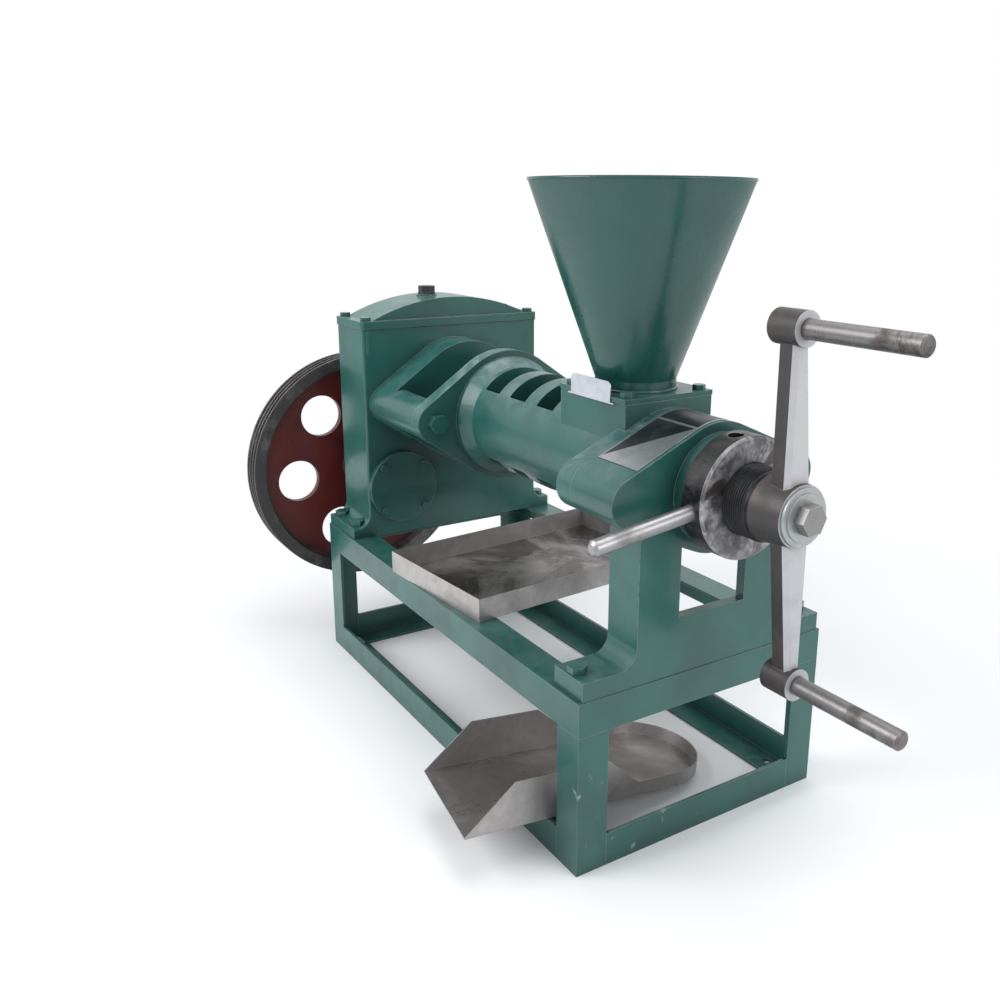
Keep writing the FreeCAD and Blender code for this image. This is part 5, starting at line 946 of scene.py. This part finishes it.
class Hopper(SubAssembly):
    """Sheet hopper, its flange, bolts and gate."""

    nodes = {
        "hopper_cone": "sheet_enamel", "hopper_flange": "rail_enamel", "hopper_bolts": "bolt_enamel",
        "feed_gate": "gate_sheet",
    }
    sizes = HopperSizes()

    def build(self) -> None:
        """Roll the rim and weld the neck to its flange."""
        low, high = (Vector(corner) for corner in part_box("hopper_cone"))
        centre = (low + high) / 2
        rim_radius = (high.x - low.x) / 2
        neck_radius = 0.060
        rim = bead("hopper_rim", ring_points(rim_radius - self.sizes.rim_bead, (centre.x, centre.y, high.z - self.sizes.rim_bead), Axis.Z, 144),
                   self.sizes.rim_bead, closed=True)
        self.finish_piece(rim, "press_frame", "sheet_enamel", "green_enamel")
        collar = bead("hopper_neck_weld", ring_points(neck_radius, (centre.x, centre.y, low.z + 0.0012), Axis.Z, 120),
                      self.sizes.weld_bead, closed=True)
        self.finish_piece(collar, "press_frame", "sheet_enamel", "green_enamel")


@dataclass
class PlateSizes:
    """Sizes of the bare name plate's border."""

    border: float = 0.0022
    recess: float = 0.0003


class FrontBracket(SubAssembly):
    """Front bracket with its bolts and the bare name plate."""

    nodes = {
        "front_bracket": "cast_enamel", "bracket_foot_bolts": "bolt_enamel", "bracket_foot_nuts": "bolt_enamel",
        "nameplate": "plate_black",
    }
    sizes = PlateSizes()

    def build(self) -> None:
        """Give the bare plate a bright border round its black field."""
        source = frame["nodes"]["nameplate"]
        centre = Vector((middle("nameplate").x, 0.0, middle("adjusting_screw").z))
        plate = bpy.data.objects.new("bordered_nameplate", source.data.copy())
        bpy.context.scene.collection.objects.link(plate)
        plate.data.materials.clear()
        plate.data.materials.append(self.palette.made["plate_silver"])
        plate.data.materials.append(self.palette.made["plate_black"])

        def outer(face: bmesh.types.BMFace) -> bool:
            """Tell whether a face looks away from the bracket's axis."""
            away = face.calc_center_median() - centre
            away.x = 0.0
            return abs(face.normal.x) < 0.1 and face.normal.dot(away.normalized()) > 0.9

        edit_mode(plate, outer)
        bpy.ops.mesh.inset(thickness=self.sizes.border, depth=0.0, use_boundary=True, use_even_offset=True)
        plate.active_material_index = 1
        bpy.ops.object.material_slot_assign()
        object_mode()
        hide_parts("nameplate")
        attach(plate, "press_frame")
        report(plate)


@dataclass
class ThreadSizes:
    """Sizes of the adjusting screw's thread."""

    lead: float
    depth: float = 0.0022
    outer: float = 0.04865
    steps: int = 72
    spigot: float = 0.025


def screw_lead() -> float:
    """Give how far the crank's coupling moves the screw in one turn."""
    couplings = frame["record"]["behaviour"]["couplings"]
    return next(2 * math.pi * abs(row["ratio"]) for row in couplings if row["joint"] == "adjust_slide")


class Adjuster(SubAssembly):
    """Adjusting screw with its real thread, lock ring, tommy bar and crank."""

    nodes = {
        "lock_ring": "worn_ring", "tommy_bar": "bright_bar", "crank_casting": "silvered_casting",
        "upper_handle_rod": "handle_steel", "lower_handle_rod": "handle_steel", "crank_washer": "washer_zinc",
        "crank_bolt": "machined_steel", "crank_key": "machined_steel",
    }
    sizes = ThreadSizes(lead=screw_lead())

    def build(self) -> None:
        """Cut the thread and keep the screw's plain ends."""
        low, high = (Vector(corner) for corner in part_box("adjusting_screw"))
        start, shoulder, end = low.x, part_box("crank_casting")[0][0], high.x
        height = (low.z + high.z) / 2
        thread = self.cut_thread(start + 0.002, shoulder - 0.0015, height)
        core = disc("core", self.sizes.outer - self.sizes.depth * 0.98, shoulder - start - 0.0005,
                    ((start + shoulder) / 2 + 0.00025, 0.0, height), Axis.X, 96)
        spigot = disc("spigot", self.sizes.spigot, end - shoulder, ((end + shoulder) / 2, 0.0, height), Axis.X, 64)
        screw = join([core, thread, spigot], "threaded_adjusting_screw")
        smooth(screw, 40.0)
        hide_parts("adjusting_screw")
        self.finish_piece(screw, "crank", "black_screw", "black_thread")

    def cut_thread(self, start: float, end: float, height: float) -> bpy.types.Object:
        """Sweep a rounded tooth along the screw's helix.

        Args:
            start: Where the thread starts along X.
            end: Where it ends along X.
            height: Height of the screw's axis.

        Returns:
            The thread as one closed ribbon of teeth.
        """
        sizes = self.sizes
        inner = sizes.outer - sizes.depth
        half = sizes.lead / 2
        profile = (
            (-half * 0.96, inner - 0.0006), (-half * 0.30, sizes.outer - 0.0004), (-half * 0.16, sizes.outer),
            (half * 0.16, sizes.outer), (half * 0.30, sizes.outer - 0.0004), (half * 0.96, inner - 0.0006),
        )
        turns = (end - start - sizes.lead) / sizes.lead
        count = int(turns * sizes.steps)
        mesh = bpy.data.meshes.new("thread")
        shape = bmesh.new()
        rows = []
        for index in range(count + 1):
            angle = 2 * math.pi * index / sizes.steps
            x = start + half + sizes.lead * index / sizes.steps
            taper = min(1.0, index / 30, (count - index) / 30)
            row = []
            for along, radius in profile:
                reach = inner - 0.0006 + (radius - inner + 0.0006) * taper
                row.append(shape.verts.new((x + along, -reach * math.sin(angle), height + reach * math.cos(angle))))
            rows.append(row)
        for first, second in zip(rows, rows[1:]):
            for side in range(len(profile)):
                after = (side + 1) % len(profile)
                shape.faces.new((first[side], first[after], second[after], second[side]))
        shape.faces.new(rows[0])
        shape.faces.new(list(reversed(rows[-1])))
        shape.to_mesh(mesh)
        shape.free()
        piece = bpy.data.objects.new("thread", mesh)
        bpy.context.scene.collection.objects.link(piece)
        outward(piece)
        return piece


class SheetGoods(SubAssembly):
    """Oil tray and cake chute."""

    nodes = {"oil_tray": "tray_sheet", "cake_chute": "chute_sheet"}


# ---------------------------------------------------------------------------------------------------
# Stage, light and camera
# ---------------------------------------------------------------------------------------------------
@dataclass(frozen=True)
class View:
    """The camera's place and turn."""

    place: Place = (1.388, -0.888, 0.890)
    azimuth: float = 56.6
    pitch: float = 15.0
    roll: float = -0.5
    lens: float = 35.37
    shift: tuple[float, float] = (-0.0546, -0.0334)


class Studio:
    """Plain pale floor, soft lamps and the camera."""

    def __init__(self, view: View) -> None:
        """Keep the view."""
        self.view = view

    def floor(self) -> None:
        """Lay the pale floor, whose background shows white."""
        deselect()
        bpy.ops.mesh.primitive_plane_add(size=30.0, location=(0.0, 0.0, -0.0002))
        floor = bpy.context.active_object
        floor.name = "studio_floor"
        material = bpy.data.materials.new("studio_floor")
        material.use_nodes = True
        tree = material.node_tree
        tree.nodes.clear()
        net = Net(tree)
        plain = net.node("BsdfPrincipled")
        plain.inputs["Base Color"].default_value = (0.93, 0.93, 0.93, 1.0)
        plain.inputs["Roughness"].default_value = 0.9
        plain.inputs["Specular IOR Level"].default_value = 0.1
        reach = net.node("VectorMath", operation="LENGTH", in_0=net.place()).outputs["Value"]
        far = net.spread(reach, 0.7, 1.5)
        seen = net.node("LightPath").outputs["Is Camera Ray"]
        white = net.node("Emission", in_0=(1.0, 1.0, 1.0), in_1=1.0)
        mixed = net.node("MixShader", in_0=net.math("MULTIPLY", far, seen), in_1=plain.outputs[0], in_2=white.outputs[0])
        tree.links.new(mixed.outputs[0], net.node("OutputMaterial").inputs["Surface"])
        floor.data.materials.append(material)

    def world(self) -> None:
        """Light the press from a pale world that the camera and gloss see as white."""
        world = bpy.data.worlds.new("studio_world")
        bpy.context.scene.world = world
        world.use_nodes = True
        tree = world.node_tree
        tree.nodes.clear()
        net = Net(tree)
        seen = net.node("LightPath")
        bright = net.math("MAXIMUM", seen.outputs["Is Camera Ray"], seen.outputs["Is Glossy Ray"])
        light = net.node("Background", in_0=(0.90, 0.95, 1.0), in_1=0.55)
        white = net.node("Background", in_0=(1.0, 1.0, 1.0), in_1=1.0)
        mixed = net.node("MixShader", in_0=bright, in_1=light.outputs[0], in_2=white.outputs[0])
        tree.links.new(mixed.outputs[0], net.node("OutputWorld").inputs["Surface"])

    def lamp(self, name: str, place: Place, aim: Place, size: float, power: float, colour: Colour = (1.0, 1.0, 1.0)) -> None:
        """Hang one soft square lamp.

        Args:
            name: Name of the lamp.
            place: Where it hangs.
            aim: The point that it faces.
            size: Side of the lamp.
            power: Power in watts.
            colour: Colour of its light.
        """
        data = bpy.data.lights.new(name, "AREA")
        data.shape = "SQUARE"
        data.size = size
        data.energy = power
        data.color = colour
        lamp = bpy.data.objects.new(name, data)
        lamp.location = place
        lamp.rotation_euler = (Vector(aim) - Vector(place)).to_track_quat("-Z", "Y").to_euler()
        bpy.context.scene.collection.objects.link(lamp)

    def lights(self) -> None:
        """Hang the key lamp over the near side, an overhead lamp and a front fill."""
        self.lamp("key", (-0.6, -2.6, 2.2), (0.0, 0.0, 0.4), 1.8, 62.0)
        self.lamp("overhead", (0.3, 0.4, 3.0), (0.1, 0.0, 0.4), 2.2, 42.0)
        self.lamp("front_fill", (3.0, 0.8, 1.4), (0.1, 0.0, 0.4), 1.6, 26.0)

    def camera(self) -> None:
        """Set the camera at its measured place."""
        view = self.view
        azimuth, pitch, roll = (math.radians(angle) for angle in (view.azimuth, view.pitch, view.roll))
        forward = Vector((-math.sin(azimuth) * math.cos(pitch), math.cos(azimuth) * math.cos(pitch), -math.sin(pitch)))
        right = forward.cross(Vector((0.0, 0.0, 1.0))).normalized()
        up = right.cross(forward)
        turn = Matrix.Rotation(roll, 3, forward)
        right, up = turn @ right, turn @ up
        data = bpy.data.cameras.new("studio_camera")
        data.lens = view.lens
        data.sensor_width = 36.0
        data.shift_x, data.shift_y = view.shift
        camera = bpy.data.objects.new("studio_camera", data)
        basis = Matrix((right, up, -forward)).transposed().to_4x4()
        camera.matrix_world = Matrix.Translation(view.place) @ basis
        bpy.context.scene.collection.objects.link(camera)
        bpy.context.scene.camera = camera

    def set_up(self) -> None:
        """Build the whole studio."""
        self.floor()
        self.world()
        self.lights()
        self.camera()
        bpy.context.scene.view_settings.view_transform = "Standard"


def smooth_frame() -> None:
    """Leave the loaded nodes' shading as it came and report how many there are."""
    LOG.info("frame holds %d nodes", len(frame["nodes"]))


def main() -> None:
    """Build the press in order and set up the studio."""
    logging.basicConfig(level=logging.INFO, format="%(message)s")
    Studio(View()).set_up()
    axis = middle("drive_pulley")
    low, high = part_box("drive_pulley")
    rim_radius = (high[2] - low[2]) / 2 - 0.029
    palette = Palette((axis.y, axis.z), rim_radius)
    groups: Iterable[type[SubAssembly]] = (BaseFrame, Gearbox, Pulley, Barrel, Hopper, FrontBracket, Adjuster, SheetGoods)
    for group in groups:
        assembly = group(palette)
        assembly.dress_nodes()
        assembly.build()
    smooth_frame()


if __name__ == "__main__":
    main()
